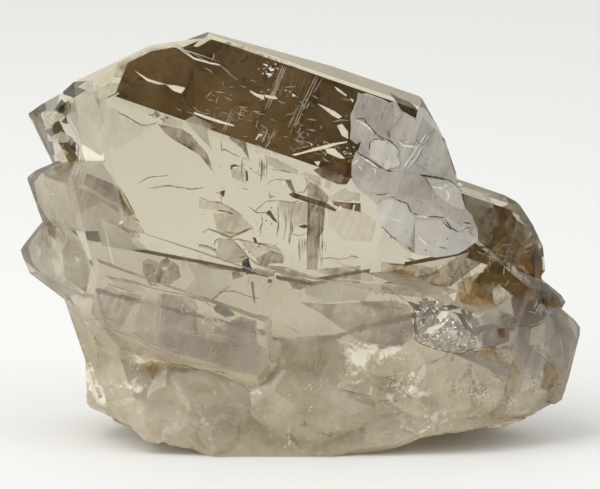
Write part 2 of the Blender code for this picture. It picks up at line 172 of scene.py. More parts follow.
BROWN_FACETS = {
    "shelf": [(-2.1, 37.8), (-1.5, 38.1), (-0, 37.6), (0.7, 37.4), (3.4, 36.5), (4.8, 35.6), (4.6, 35.3),
        (1.9, 36.3), (-0.5, 37.2), (-1.5, 37.3)],
    "rung_bar": [(4.1, 36.8), (8.2, 36.5), (8.2, 35.2), (6.7, 35.6), (5, 36), (4.3, 36.3)],
    "band_foot": [(1.4, 41.3), (3.4, 42.1), (5, 42.3), (6.5, 41.9), (7, 41.1), (6.7, 39.9), (6.2, 39.2),
        (5, 39.2), (2.6, 40.2)],
    "corner_brown": [(29.9, 23), (33.1, 25), (34.2, 24.7), (35.1, 21), (34.8, 19.5), (33.1, 18.8),
        (30.7, 18.8), (30.3, 20.1), (30.2, 21.9)],
    "olive_block": [(25.5, 17.8), (27.3, 18.7), (29.7, 18.4), (29.6, 16.6), (27.3, 15.8), (25.5, 16.1)],
    "corner_under": [(31.3, 29.8, 0.7), (34.4, 28.1), (35.4, 25.5), (36.5, 22.6), (35.5, 20.8, 0.8),
        (33.6, 22.6, 0.8), (32.2, 26, 0.6)],
    "corner_edge": [(32.5, 32.4, 0.7), (33.9, 31.2, 0.9), (34.9, 28.1, 0.9), (35.1, 26, 0.8),
        (33.9, 26.6, 0.7), (33.1, 29.5, 0.6)],
    "end_edge": [(33.6, 24.9, 0.8), (36, 23.7, 0.9), (37.4, 21.7, 0.9), (36.5, 20.2, 0.8), (34.8, 21.7, 0.7)],
}
STAINED_FACETS = {
    "tip_brown_e": [(-33.6, 46), (-33.1, 45.4), (-33.5, 44.6), (-34, 45.1)],
    "second_tip_top": [(-37.4, 40.8), (-36.1, 41.7), (-33.8, 42.7), (-32.8, 42.7), (-33.5, 39.5),
        (-35.2, 39.8), (-37, 40.5)],
    "left_blade": [(-31, 40.8), (-28.6, 39.8), (-26.3, 38.8), (-25.4, 37.5), (-24.1, 35.1), (-25, 34.6),
        (-26.8, 36.5), (-28.3, 37.2), (-30.3, 38.6), (-31.5, 39.2)],
    "left_blade_end": [(-23.8, 34.3), (-23.4, 33.7), (-24.5, 34.3)],
    "upper_blade": [(-20.9, 47.9), (-17.5, 47.2), (-16.2, 46.4), (-13.7, 43.5), (-12.9, 40.9), (-15, 43.5),
        (-16.6, 44.9), (-18.6, 45.6), (-19.8, 46.5)],
    "second_blade": [(-10.8, 45.9), (-8.9, 46.7), (-8.3, 45.4), (-7.7, 42.6), (-8.8, 44.3)],
    "small_step": [(-2, 37.8), (0.9, 37), (0.9, 36.5), (-1.6, 37.4)],
    "hook": [(-2.6, 39.8), (-1.8, 39.9), (-1.5, 39), (-1.1, 38.1), (-1.5, 38), (-2.1, 38.8)],
    "column": [(0.8, 39.6), (1.9, 39.2), (2.9, 38.2), (3.7, 37.4), (3.5, 36.8), (3.1, 36.3), (3.1, 35.6),
        (2.9, 32.7), (2.3, 31.7), (2, 26.9), (0.5, 27), (0.5, 29.8), (0.8, 32.7), (0.9, 35.6), (0.7, 36.5),
        (0.6, 38.8)],
    "slab_shade": [(-6.8, 28.6), (-5.3, 29.4), (-4.4, 29.7), (-3, 29.2), (-3, 27.9), (-4.6, 27.9),
        (-5.6, 27.5), (-6.5, 27.9)],
    "under_shelf": [(-3.9, 26.9), (-0.5, 25.9), (1.7, 25.3), (0.5, 24.6), (-0.5, 24.1), (-1.5, 24.3),
        (-2.4, 25.5)],
    "smudge_a": [(-23.1, 27.3, 0.4), (-22.5, 27.9), (-21.6, 27.8), (-21.3, 26.8), (-22.5, 26), (-23.1, 26.5)],
    "smudge_b": [(-20.5, 28.2), (-19.6, 28.8), (-17.9, 27.6), (-17.6, 25.9), (-19, 25), (-20.8, 25, 0.5),
        (-21.1, 26.2)],
    "plate_end": [(-11.2, 19.2), (-9, 20.4), (-6.7, 19.7), (-6.6, 16.4), (-9.2, 16.6), (-10.9, 17.5),
        (-12.9, 17.8, 0.4), (-12.4, 18.8)],
    "small_end": [(-10.3, 26.6), (-9.3, 26.8), (-8.8, 26), (-10.1, 25.5)],
    "end_bar": [(35.4, 20.7), (36.2, 21), (37.2, 18.1), (36.5, 17.9)],
    "wedge_low": [(29.6, 16.4), (31.3, 18.1), (32.5, 16.1), (36.2, 12.9), (37.2, 11.7), (36.2, 10.3),
        (34.2, 9.4, 0.5), (31.9, 11.1, 0.2), (31, 13.7, 0.5)],
    "clear_end_side": [(30.1, 16.2), (32.8, 17.2), (34.6, 15.3), (34.2, 13.9), (32.8, 12)],
    "olive_shelf": [(11.4, 25), (15.4, 24.7), (18, 23.9), (21.2, 24.6), (23.8, 26.6), (25.8, 28.1),
        (24.4, 29.8, 0.6), (21.9, 28.6, 0.6), (19.8, 27.2, 0.6), (17.4, 26.2), (14, 25.6)],
    "middle_brown": [(-20.8, 23.6, 0.5), (-18.2, 23, 0.7), (-15, 20.8, 0.7), (-12.8, 19.4, 0.6),
        (-11.2, 18.1, 0.7), (-10.3, 19.8, 0.7), (-6.9, 19.5, 0.8), (-6.6, 16.5, 0.8), (-6, 14.5, 0.7),
        (-5.1, 12.7, 0.6), (-7, 12.3, 0.8), (-10.6, 13.2, 0.8), (-14.2, 14.3, 0.7), (-17.1, 15.3, 0.6),
        (-19.9, 16.2, 0.5), (-21.1, 19.7, 0.5)],
    "low_right_olive": [(24.4, 19.4, 0.25), (28.4, 20.5, 0.4), (33.5, 20.8, 0.5), (37.4, 18.8, 0.5),
        (38.3, 15.3, 0.5), (36, 11.6, 0.5), (31.3, 9.8, 0.4), (27, 11.6, 0.35), (24.7, 16.1, 0.3)],
}
LIGHT_BROWN_FACETS = {
    "band_olive": [(-15.7, 55.6), (-12.8, 55.1), (-10.2, 52.2), (-10.9, 50.5), (-14.2, 49.8), (-15.7, 49.8)],
    "band_grey": [(-3.5, 56.6), (-2.6, 56.3), (-4.1, 52.2), (-5.6, 49.6), (-6, 46.7), (-6.8, 45.7),
        (-6.5, 48.6), (-5.6, 51), (-4.8, 53.4)],
    "band_fine": [(-2.2, 56.2, 0.8), (1.2, 55), (1.2, 53.4), (-0.3, 50.5), (-1.5, 49.3), (-3.6, 49.6, 0.4),
        (-3.9, 51.5), (-3.2, 53.4)],
    "band_low": [(-9.9, 49.8, 0.4), (-7.7, 51.7), (-6, 51.3), (-6.3, 47.6), (-7.7, 45.7), (-9.7, 46.7),
        (-10.9, 48.1)],
    "band_foot_left": [(-15.7, 52.2, 0.5), (-12.1, 51.7), (-9.9, 50.1), (-10.9, 48.1), (-14.2, 49.1),
        (-15.7, 49.6)],
    "band_foot_mid": [(-5.3, 46.7), (-2.2, 47.2), (-0.8, 45.2), (-2.2, 43.3), (-4.1, 43.5), (-5.6, 44.8)],
    "band_a": [(-26.6, 56.6), (-21.5, 59), (-18.6, 58.7), (-16.1, 57.3), (-15.7, 55.1), (-17.1, 53),
        (-20.8, 53.9), (-24, 55.3), (-27.3, 54.6)],
    "band_e": [(2, 50.8), (4.6, 49.7), (6.5, 47.2), (6.5, 45.4), (3.8, 46.1), (2.4, 48.6)],
    "band_f": [(-0.9, 44.3), (2.4, 45), (6.7, 45), (7.1, 42.5), (4.6, 42.1), (0.9, 42.8)],
}
TAN_FACETS = {
    "brown_patch": [(-20.5, 23.6), (-15.6, 22.9), (-15, 21.6), (-15.8, 19.5), (-15, 18.1), (-13.2, 17.5),
        (-6.3, 16.1), (-6.3, 12.3), (-12.1, 13.4), (-19, 15.2), (-20.8, 16.4), (-20.6, 19.5)],
    "slope": [(-31.8, 21.3, 0.3), (-29.7, 23.3, 0.3), (-28, 25), (-26.6, 23.9), (-24.2, 23.6), (-23.1, 23.3),
        (-25.1, 20.4), (-26.6, 18.1), (-30, 18.9), (-31.5, 20.1)],
    "foot_tan": [(-30.9, 19.2), (-28.3, 18.7), (-25.7, 16.9), (-22.5, 15.5), (-26.6, 13.4, 0.4),
        (-29.4, 12, 0.4), (-29.6, 14.6), (-30, 17.5)],
    "olive_right": [(22.1, 25), (25, 26.5), (29, 26.2), (33.6, 25.6), (33.1, 23.6), (30.2, 23.3),
        (27.3, 21.3), (24.7, 20.4), (22.6, 21.9)],
    "band_low_a": [(11.1, 25), (15.4, 24.2), (19.2, 23.6), (16.9, 23), (11.1, 23.6)],
    "band_low_b": [(11.1, 28.1), (12.8, 27.6), (17.1, 27.5), (19.2, 27.2), (19.8, 26.5), (15.4, 25.6),
        (11.1, 26.5)],
    "clear_end_foot": [(36, 9.1, 0.4), (37.2, 11.4), (38.8, 13.2), (40, 16.1), (39.7, 14.9), (38, 10.6),
        (37.5, 8.8), (36.5, 7.8)],
    "left_of_silver": [(11.1, 21.9, 0.5), (14.5, 21.6), (15.7, 17.2), (14, 16.1), (11.1, 16.6)],
    "right_of_silver": [(22.6, 21.3), (24.7, 20.1), (29, 18.5), (27.3, 18.6), (25.5, 17.6), (25.5, 16.1),
        (25, 16.9)],
    "wedge": [(-29.4, 50.8, 0.3), (-26.6, 49.9, 0.35), (-24.7, 48.2, 0.3), (-20.8, 47.9, 0.25),
        (-26.6, 44.3, 0.2), (-28, 44.6, 0.25)],
    "ledge_line_a": [(-15, 28), (-12.6, 27.7), (-10.2, 27.3), (-8.7, 26.7), (-10.2, 26.7), (-12.6, 27.1),
        (-15, 27.6)],
    "ledge_line_b": [(-15, 30.6), (-13.5, 30.3), (-12.4, 29.9), (-12.6, 29.6), (-13.8, 30), (-15, 30.3)],
    "ledge_line_c": [(-7, 27.9), (-4.6, 27.6), (-2.4, 27.4), (-0.5, 26.7), (1.4, 25.9), (4.3, 25.7),
        (8.2, 25.3), (8.2, 24.9), (4.3, 25.3), (1.7, 25.5), (-0.5, 26.1), (-2.4, 26.8), (-4.6, 27.3),
        (-6.8, 27.6)],
    "crook": [(-10.3, 26.7), (-8.8, 26.6), (-8.5, 26.2), (-9.2, 25.8), (-9.8, 25.9)],
    "bright_wedge": [(2.4, 27.1), (8.2, 27.6), (8.2, 25.5), (4.3, 25.8), (1.9, 26.7, 0.3)],
    "third_tip": [(-38.8, 32.5), (-36.1, 34), (-35.7, 32), (-36.1, 29.9), (-38.1, 30.2), (-39, 31.4)],
    "tip_rim": [(-39.3, 49.5), (-37.8, 50.1), (-37.1, 47.3), (-36.4, 43.8), (-36.7, 43.5)],
    "ledge_right_a": [(-27, 32.5), (-25.7, 33), (-23.4, 32.3), (-23.4, 31.4), (-24.5, 31.8)],
    "ledge_right_b": [(-28, 25.9), (-23.4, 25.2), (-23.4, 24.7), (-27.4, 25.5)],
    "under_lens": [(7.9, 22.7), (9.9, 22.3), (12.8, 21.7), (13.4, 21.4), (11.1, 21.3), (8.5, 21.9)],
    "line_bit_a": [(-3.4, 19.4), (-0.7, 18.2), (-0.1, 17.8), (-1.1, 18.1)],
    "line_bit_b": [(1.5, 17.8), (4.4, 17.2), (4.8, 16.9), (2.1, 17.2)],
    "base_olive_a": [(-23.2, 12.7, 0.4), (-20.8, 15.1, 0.7), (-16.4, 13.6, 0.6), (-17, 9.6, 0.5),
        (-18.2, 6.7, 0.6), (-22.2, 7.4, 0.5)],
    "base_olive_b": [(-14.2, 8.4, 0.3), (-7.7, 8.1, 0.6), (-1.9, 8.8, 0.5), (3.8, 7.8, 0.6), (2.7, 4.5, 0.5),
        (-3.4, 3.2, 0.6), (-9.9, 4, 0.4)],
    "base_brown_edge": [(-29.7, 18.2, 0.9), (-28.9, 15.1, 0.9), (-29.3, 12.2, 0.8), (-27.7, 13.6, 0.4),
        (-26.3, 16.8, 0.4), (-27.7, 18.8, 0.6)],
    "clear_end_wash": [(29.1, 18.2, 0.4), (32.8, 22.6, 0.7), (37.1, 20, 0.8), (39.1, 16.1, 0.8),
        (38, 11.7, 0.7), (34.2, 8.8, 0.6), (30.6, 12.2, 0.5)],
    "low_right_wash": [(19.8, 14.6, 0.3), (24.1, 15.1, 0.5), (29.1, 16.1, 0.6), (32.5, 13.2, 0.7),
        (31.3, 8.8, 0.5), (25.5, 10.3, 0.4), (21.2, 11.3, 0.3)],
    "right_olive": [(20.6, 28.1, 0.6), (24.1, 30.1, 0.6), (28.4, 28.1), (31.6, 24.9), (34.2, 22.6),
        (32.8, 18.5), (28.4, 17.6, 0.8), (25.5, 19.7, 0.6), (23.8, 22.6, 0.5), (22.1, 24.9, 0.4)],
    "end_olive": [(31.3, 20, 0.7), (34.9, 21.7, 0.8), (38, 19.4, 0.8), (38.5, 15.3, 0.8), (36.5, 12.7, 0.7),
        (32.8, 13.6, 0.6), (30.7, 16.8, 0.6)],
    "middle_spot": [(-23.1, 28.1), (-22.2, 28.6), (-20.8, 28.1), (-19.9, 26.6), (-20.8, 24.9), (-21.9, 24.6),
        (-22.8, 26)],
    "clear_end_deep": [(25.5, 17.9, 0.7), (30.2, 18.8, 0.8), (32.8, 16.8, 0.8), (31.9, 12.2, 0.7),
        (28.4, 11, 0.6), (25.2, 13.9, 0.6)],
}
TINTED_FACETS = {
    "wash_under_the_band": [(-30.2, 52.4, 0.5), (-27.8, 53.7), (-25.5, 53.7), (-20.8, 52), (-17.9, 50.9),
        (-16.1, 49.9), (-13.5, 48.4), (-11, 47.8), (-8.5, 46.4), (-4.8, 43.2, 0.8), (2, 41, 0), (-4.8, 43, 0),
        (-16.1, 47, 0.2), (-27.1, 51, 0.2)],
    "left_wash": [(-34.1, 39.2), (-33.2, 39.2), (-27.3, 36.5), (-23.6, 33.4), (-22.9, 32.3),
        (-27.3, 32.3, 0.4), (-32.3, 32.3, 0.4)],
    "foot_band_a": [(-1.9, 26.9), (4.6, 25.6), (10, 24.9), (13.6, 24.9), (16.9, 24.9), (13.6, 23.6),
        (10, 23.6), (3.8, 25.3), (-1.9, 26)],
    "foot_band_b": [(2.8, 27.3), (6.4, 26.9), (10, 26.7), (10, 25.3), (4.6, 25.8)],
    "foot_band_c": [(7.8, 22.8), (11.1, 22.4), (15.1, 21.9), (15.4, 20.8), (12.5, 21.5), (8.5, 21.9)],
    "slab_a": [(-13, 35.1), (-9.4, 35.1), (-7, 32.9), (-10.4, 31.6), (-12.3, 32.5)],
    "slab_b": [(-10.5, 41.6), (-8.2, 41.1), (-8.1, 39.2), (-10.2, 40.2)],
    "slab_c": [(-9.4, 31.4), (-5.3, 30.3), (-3.2, 29.2), (-4.4, 29.7), (-6.8, 28.6), (-7.7, 29.2)],
    "slab_d": [(-15, 37), (-11.8, 36.5), (-8.9, 34.9), (-12.1, 35.5), (-15, 35.8)],
    "slab_e": [(-3.6, 36.9), (-1.7, 36.5), (0.5, 36.8), (0.7, 33.7), (-1.5, 33.3), (-3.4, 34.6, 0.3)],
    "low_left_wash": [(-23.4, 12.3), (-21.3, 13.7), (-15, 12.9), (-9.2, 11.7), (-6.3, 11.1), (-6.3, 8.1, 0.2),
        (-15, 8.1, 0.2), (-22.2, 8.1, 0.2)],
    "left_margin": [(-34.8, 23.9), (-31.8, 21.3), (-30.9, 18.9), (-31.5, 19.2), (-33.5, 21.6)],
    "window_right_wash": [(3.5, 36.2, 0.5), (8.2, 35.6, 0.6), (10.5, 33.9, 0.6), (9.9, 31, 0.5),
        (6, 31.2, 0.4), (3.5, 33.3, 0.4)],
}
# Painted light: near-opaque pale films over the left tips and a ledge, standing in for the light seen through
# them; the glow they give is painted
PAINTED_LIGHT_FACETS = {
    "second_tip_glow": [(-38.7, 39.6), (-37.4, 40.9), (-34.9, 42.2), (-32, 42.7), (-29.4, 42.7), (-28, 41.1),
        (-25.5, 37.5), (-23.8, 33.3), (-25.8, 32.5), (-29.4, 32.5), (-32.6, 33.1), (-35.2, 33.1),
        (-36.8, 34.9), (-38, 37.3)],
    "third_tip_glow": [(-39.6, 30.4, 0.8), (-38.1, 32.3, 0.8), (-36, 33.3, 0.9), (-33.5, 33, 0.9),
        (-31.8, 31.4), (-30.3, 28.1), (-30.7, 24.9, 0.7), (-32.3, 24, 0.5), (-35.2, 24.9, 0.5),
        (-37.4, 26.3, 0.6), (-39.1, 28.2, 0.7)],
    "shoulder_glow": [(-32.8, 51.9, 0.9), (-29.7, 53.5, 0.9), (-27.9, 52.5, 0.8), (-28.7, 47.2, 0.7),
        (-28.6, 42.4, 0.8), (-31.3, 42.4, 0.8), (-32.2, 45.7, 0.8), (-33.2, 48.9, 0.8)],
    "ledge_glow": [(-29.7, 33.6, 0.6), (-28.3, 34), (-26.3, 33), (-23.6, 31.2, 0.9), (-22.2, 29.8, 0.5),
        (-25.4, 29.8), (-28.9, 30.4, 0.8)],
}
HAZY_FACETS = {
    "olive_wash": [(-0.5, 22.3), (3.8, 22), (8.9, 22.4), (13.2, 22.6), (15.4, 21.7), (15.7, 17.5),
        (13.2, 16.1), (8.2, 16.5), (6, 18.2), (2.7, 20.5)],
    "brown_plate": [(-19, 17.8), (-14.2, 17.1), (-12.1, 16.5), (-6.6, 16.6), (-4.8, 15.3), (-5.1, 12.7),
        (-6.6, 12), (-9.8, 12.4), (-14.2, 13.9), (-20, 15.2), (-22.5, 16.4), (-25.1, 17.9)],
    "shell_brown": [(-3.4, 16.6), (-0.5, 17.4), (3.8, 17.6), (6, 16.1), (6.2, 12.7), (5, 10.4), (-0.5, 10.7),
        (-2.5, 13.2)],
    "band_haze": [(-14.2, 53.2, 0.15), (-9.2, 52.7, 0.3), (-2.7, 53.2, 0.3), (-0.5, 49.8, 0.35),
        (-1.9, 45.7, 0.35), (-6.6, 45.4, 0.35), (-10.3, 47.5, 0.3), (-13.2, 50.4, 0.2)],
    "band_haze_low": [(-6, 48, 0.3), (-0.5, 48.3, 0.35), (3.8, 46.3, 0.3), (2.1, 43.4, 0.35),
        (-1.9, 44, 0.35), (-5.4, 45.4, 0.3)],
}
# Pale facets: partly healed cracks, partly painted light: pale paint over the lobe face and the tips where
# they would look dark, and painted glints, glare, gleams and sheen on the tips, ledges and base
PALE_FACETS = {
    "lobe_face": [(-32, 52.2), (-30, 52.2), (-29.1, 49.6), (-28.1, 45), (-29.1, 43.3), (-31.2, 44.4),
        (-32.3, 46.4), (-33.8, 49), (-33.4, 50.8)],
    "tip_glint_a": [(-37.1, 49.5), (-36, 49.8), (-34.5, 49.3), (-34.6, 48.6), (-35.8, 48.2), (-36.4, 47.3),
        (-37.1, 47.9)],
    "tip_glint_b": [(-36.5, 46), (-34.9, 46.9), (-33.8, 46.3), (-33, 45.9), (-33.9, 45.3), (-35.5, 45.3)],
    "tip_glint_c": [(-35.7, 43.5), (-34.5, 44.4), (-33.8, 43.8), (-34.9, 42.6)],
    "second_tip_face": [(-37.4, 40.6), (-34.1, 39.2), (-32.5, 33.1), (-33.8, 33.7), (-35.5, 36),
        (-36.7, 38.6)],
    "second_tip_slope": [(-33.9, 39.1), (-32, 39.2), (-30.9, 38), (-25.1, 34.3), (-27.4, 32.5), (-32, 32.5),
        (-32.3, 33)],
    "second_tip_streak": [(-37.7, 39.8), (-36.4, 38.3), (-34.8, 34.9), (-35.4, 34.9), (-37, 37.6)],
    "third_tip_a": [(-34.8, 29.9), (-33.8, 32.3), (-33.4, 32.1), (-34.5, 29.9)],
    "third_tip_b": [(-33.9, 32.3), (-32, 31), (-32.2, 30.6), (-34, 31.8)],
    "third_tip_c": [(-35.6, 31.7), (-35.3, 31.6), (-35.9, 29.9), (-36.2, 29.9)],
    "third_tip_d": [(-38.2, 30), (-37.4, 29.8), (-38, 28.5)],
    "third_tip_e": [(-35.5, 34), (-34, 32.3), (-34.8, 30), (-35.8, 30.1), (-35.6, 32)],
    "blade_tip": [(-25, 34.4), (-24.2, 35.1), (-23.9, 33.9), (-24.5, 34.2)],
    "top_facet": [(-32.3, 53.5), (-26.6, 56.6), (-27.7, 53.7), (-30.2, 52.4)],
    "blade_light": [(-17, 48.4), (-15.7, 49.1), (-13, 47.7), (-13.9, 46.8), (-13.2, 44.3), (-15, 46.1)],
    "facet_by_the_blade": [(-19.9, 49.3), (-17.3, 48.2), (-17.3, 47.3), (-20.4, 48)],
    "under_band_a": [(-0.5, 40.8), (0.5, 41), (2.4, 40.3), (2.5, 39), (1.9, 39.2), (0.5, 40.2)],
    "under_band_b": [(3.8, 37.5), (6, 38.7), (6.7, 38.2), (8.1, 38), (8.1, 36.8), (6.7, 37), (3.8, 36.8)],
    "slab_top": [(-12.3, 31.2), (-10.2, 31.2), (-9.2, 30.3), (-8, 28.8), (-8.8, 27.9), (-11.4, 28.1),
        (-12.3, 28.8)],
    "slab_low": [(-7, 27.3), (-4.4, 27), (-3.9, 26.2), (-6.8, 26.3)],
    "band_edge": [(-5.5, 43.3), (-3.6, 42.6), (-0.8, 41.3), (-0.8, 40.6), (-3.9, 41.6), (-5.3, 42.2)],
    "column_light": [(3.2, 39.9), (4.1, 39.5), (3.8, 38.5), (3, 38.7)],
    "pale_column": [(-22.5, 23.3), (-20.8, 23.1), (-20.5, 22.1), (-20.8, 16.6), (-21.3, 16.4), (-22.8, 16.9),
        (-24.5, 18.9), (-23.6, 21.6)],
    "ledge_light": [(-28, 25.5), (-26.6, 25.3), (-24.2, 25), (-22.9, 24.3), (-22.5, 23.7), (-24.2, 23.9),
        (-26.6, 24.4)],
    "white_needle": [(-15.8, 20.2), (-15.3, 20.1), (-15.1, 18.9), (-15.5, 16.6), (-15.7, 18.1)],
    "left_rim": [(-33.8, 22.1, 0.4), (-32.3, 18.2, 0.6), (-31.8, 13.9, 0.8), (-32.3, 10.8, 0.8),
        (-30.6, 8.1, 0.8), (-29, 6.7, 0.7), (-27, 5.9, 0.6), (-28.6, 9.6, 0.6), (-29.6, 12.4, 0.7),
        (-30.4, 16.8, 0.6), (-32, 20.8, 0.4)],
    "window_slab": [(-16.7, 27.9), (-13.8, 27.6), (-10.3, 26.8), (-10.3, 25), (-13.2, 22.7), (-15, 23.6),
        (-17.3, 23.9), (-15.6, 25.6)],
    "glare_a": [(-14.2, 21), (-13.5, 21.3), (-12.8, 20.4), (-13.1, 19.2), (-13.8, 20.1)],
    "glare_b": [(-12.7, 19.4), (-12.1, 19.8), (-11.2, 19.5), (-11.4, 19.1)],
    "glare_c": [(-20.2, 15.7), (-19, 15.8), (-18, 15.5), (-18.7, 15.2), (-20, 15.3)],
    "gleam_line": [(-12.1, 17.5), (-10.1, 17.2), (-8.8, 16.5), (-9.2, 16.2), (-10.6, 16.6)],
    "pale_triangle": [(24.7, 20.2), (27.3, 21.6), (29.7, 23), (30.3, 21.3), (30.4, 18.5), (29, 18.5),
        (26.7, 19.2)],
    "clear_end": [(34.5, 15.8), (37, 17.6), (37.8, 14.9), (37.7, 12)],
    "clear_end_top": [(32.8, 18.4), (35.1, 20.4), (36.5, 17.9), (37.1, 18.1), (34.5, 16.1), (32.5, 16.2)],
    "clear_rim": [(37.2, 21), (39.7, 18.9), (40, 16.1), (39.3, 17.2), (38.5, 18.9)],
    "low_gleam": [(28.1, 15.9), (29.7, 16.2), (30.2, 15.3), (28.7, 15.6)],
    "chip_light": [(31.7, 29.7), (32.5, 29.8), (32.8, 29.9), (32.5, 28.7)],
    "low_slab": [(0.2, 24.4), (3.8, 25.3), (9.3, 24), (8.9, 22.8), (3.8, 22.4), (0.6, 23.3)],
    "mid_lens": [(0.1, 23.9, 0.7), (1.7, 25.2, 0.8), (3.8, 25.5, 0.8), (6, 25, 0.8), (8.2, 24.3, 0.8),
        (9.6, 23.6, 0.7), (8.9, 22.7, 0.6), (5.3, 22.4, 0.6), (2.4, 22.1, 0.6), (0.7, 22.9, 0.6)],
    "foot_rim": [(-25.1, 3.2, 0.6), (-22.2, 3.6, 0.6), (-20.8, 2.3, 0.5), (-22.8, 2, 0.7)],
    "low_column": [(-3.7, 14.5, 0.6), (-3, 13.9, 0.8), (-1.9, 11.3, 0.6), (-3.1, 9.6, 0.3), (-4, 11.6, 0.6)],
    "low_sheen_a": [(-14.2, 3.5, 0.2), (-7.7, 2.9, 0.5), (-0.5, 2.6, 0.5), (3.8, 3.8, 0.3), (3.8, 1.4, 0.4),
        (-6.3, 0.9, 0.5), (-13.2, 0.9, 0.4)],
    "low_sheen_b": [(-15.6, 11, 0.2), (-12.8, 12.4, 0.5), (-9.8, 11.3, 0.4), (-10.3, 8.7, 0.4),
        (-14.1, 8.1, 0.3)],
    "low_sheen_c": [(-26.8, 6.4, 0.4), (-23.6, 8.4, 0.5), (-19.3, 6.1, 0.3), (-16.4, 3.8, 0.4),
        (-20.8, 3.5, 0.5), (-24.5, 4.3, 0.5)],
    "right_crystal_haze": [(22.9, 38.2, 0.5), (27.3, 36.5, 0.6), (28.4, 33.9, 0.5), (26.7, 30.4, 0.5),
        (24.4, 31.5, 0.6)],
    "base_right_pale": [(16.9, 9.3, 0.2), (22.6, 10.4, 0.35), (28.4, 10.4, 0.35), (34.2, 9.3, 0.35),
        (33.6, 6.9, 0.4), (27, 4.6, 0.4), (19.8, 3.5, 0.35), (15.4, 5.2, 0.2)],
    "base_mid_pale": [(3.8, 9.3, 0.15), (9.6, 9.8, 0.3), (14, 8.4, 0.3), (12.8, 4.6, 0.35), (6.7, 3.5, 0.3),
        (3.8, 5.8, 0.15)],
}
# Pale patches on the surface: partly chips, partly painted glare and glints, such as the glare on the silver
# fracture and the light along the hook and the crack at the top
SURFACE_CHIPS_AND_GLARE = {
    "z_top": [(-5.9, 56.5), (-5.2, 56.4), (-5, 56.1), (-5.5, 56.2)],
    "z_mid": [(-5.1, 55.9), (-4.2, 55.8), (-4.2, 55.5), (-4.7, 55.4)],
    "z_low": [(-5.5, 55.2), (-4.6, 55.1), (-4.5, 54.7), (-5.1, 54.8)],
    "chip_long": [(-7.7, 52.7), (-6.7, 52.2), (-5.7, 52), (-5.6, 51.3), (-6, 51.4), (-6.9, 51.9),
        (-7.6, 52.4)],
    "chip_tail": [(-5.6, 52.1), (-4.6, 51.9), (-3.7, 51.6), (-3.8, 51.4), (-4.8, 51.5), (-5.5, 51.7)],
    "chip_dot": [(-1.6, 52.1), (-1.1, 52), (-1.2, 51.8), (-1.6, 51.8)],
    "crack_swell": [(-13.5, 56.7), (-12.7, 56.6), (-11.8, 56.3), (-12.1, 56.2), (-13.2, 56.5)],
    "right_a": [(4.4, 53.3), (5.3, 52.7), (6.2, 52), (6.1, 51.8), (4.8, 52.7)],
    "right_b": [(6.6, 51.6), (7.2, 51.3), (7.1, 50.9)],
    "big_blade": [(2, 50.8), (3.4, 50.2), (4.6, 49.6), (5.5, 48.9), (5, 48.6), (4.1, 49.1), (3.1, 49.9)],
    "big_blade_low": [(4.8, 47.6), (5.5, 47.9), (6.4, 46.7), (6.4, 45.7), (5.5, 46.2)],
    "veil": [(-1.7, 43.5), (-0.3, 43.8), (1.2, 44.3), (2.9, 44.8), (4.3, 45.1), (6.2, 45.4), (6.3, 45.2),
        (4.8, 44.9), (3.4, 44.4), (2.1, 44.1), (0.2, 43.7), (-1.2, 43.3)],
    "ladder": [(3.1, 44.3), (4.3, 44.4), (5, 43.8), (6, 42.9), (5.3, 42.9), (4.1, 43.4), (3.4, 43.7)],
    "hook_a": [(-6.9, 45.6), (-6.4, 46.5), (-5.8, 46.3), (-5.9, 46.2), (-6.3, 46.2), (-6.7, 45.6)],
    "foot_edge": [(-15.7, 49.6), (-14.2, 49.1), (-12.8, 48.6), (-10.9, 48), (-9.9, 47.7), (-10, 47.5),
        (-12.1, 48), (-14.2, 48.7), (-15.7, 49.3)],
    "hook_light": [(-19.3, 59.2), (-17.9, 59.3), (-15.7, 57.4), (-13.5, 56.7), (-11.9, 56.3), (-13.2, 56.4),
        (-15.7, 57.1), (-17.9, 58.6)],
    "chip_by_the_crack": [(-19.7, 53.5), (-17.9, 53.3), (-16.9, 53), (-17.5, 52.2), (-18.6, 52.6)],
    "crack_light": [(-24.2, 55.5), (-22.2, 54.3), (-20.6, 53.8), (-19.6, 53.5), (-20.8, 53.5), (-22.4, 54)],
    "silver_glare_a": [(19.8, 22), (20.9, 23.4), (22.1, 23.8), (21.7, 22.6), (20.8, 21.9)],
    "silver_glare_b": [(19, 20.2), (19.8, 21.1), (20.8, 21.1), (20.5, 20.2), (19.5, 19.8)],
    "silver_glare_c": [(17.3, 17.9), (17.9, 18.7), (19.5, 19.2), (20.6, 19.8), (19.8, 18.8), (18, 17.9)],
    "rung_a": [(5.2, 36.2), (5.5, 36.1), (5.3, 35.5), (5.1, 35.5)],
    "rung_b": [(7.2, 36.3), (7.4, 36.3), (7.2, 35.4), (7, 35.4)],
    "triangle_chip": [(1.5, 42.5), (2.4, 42.5), (2.1, 41.8)],
}
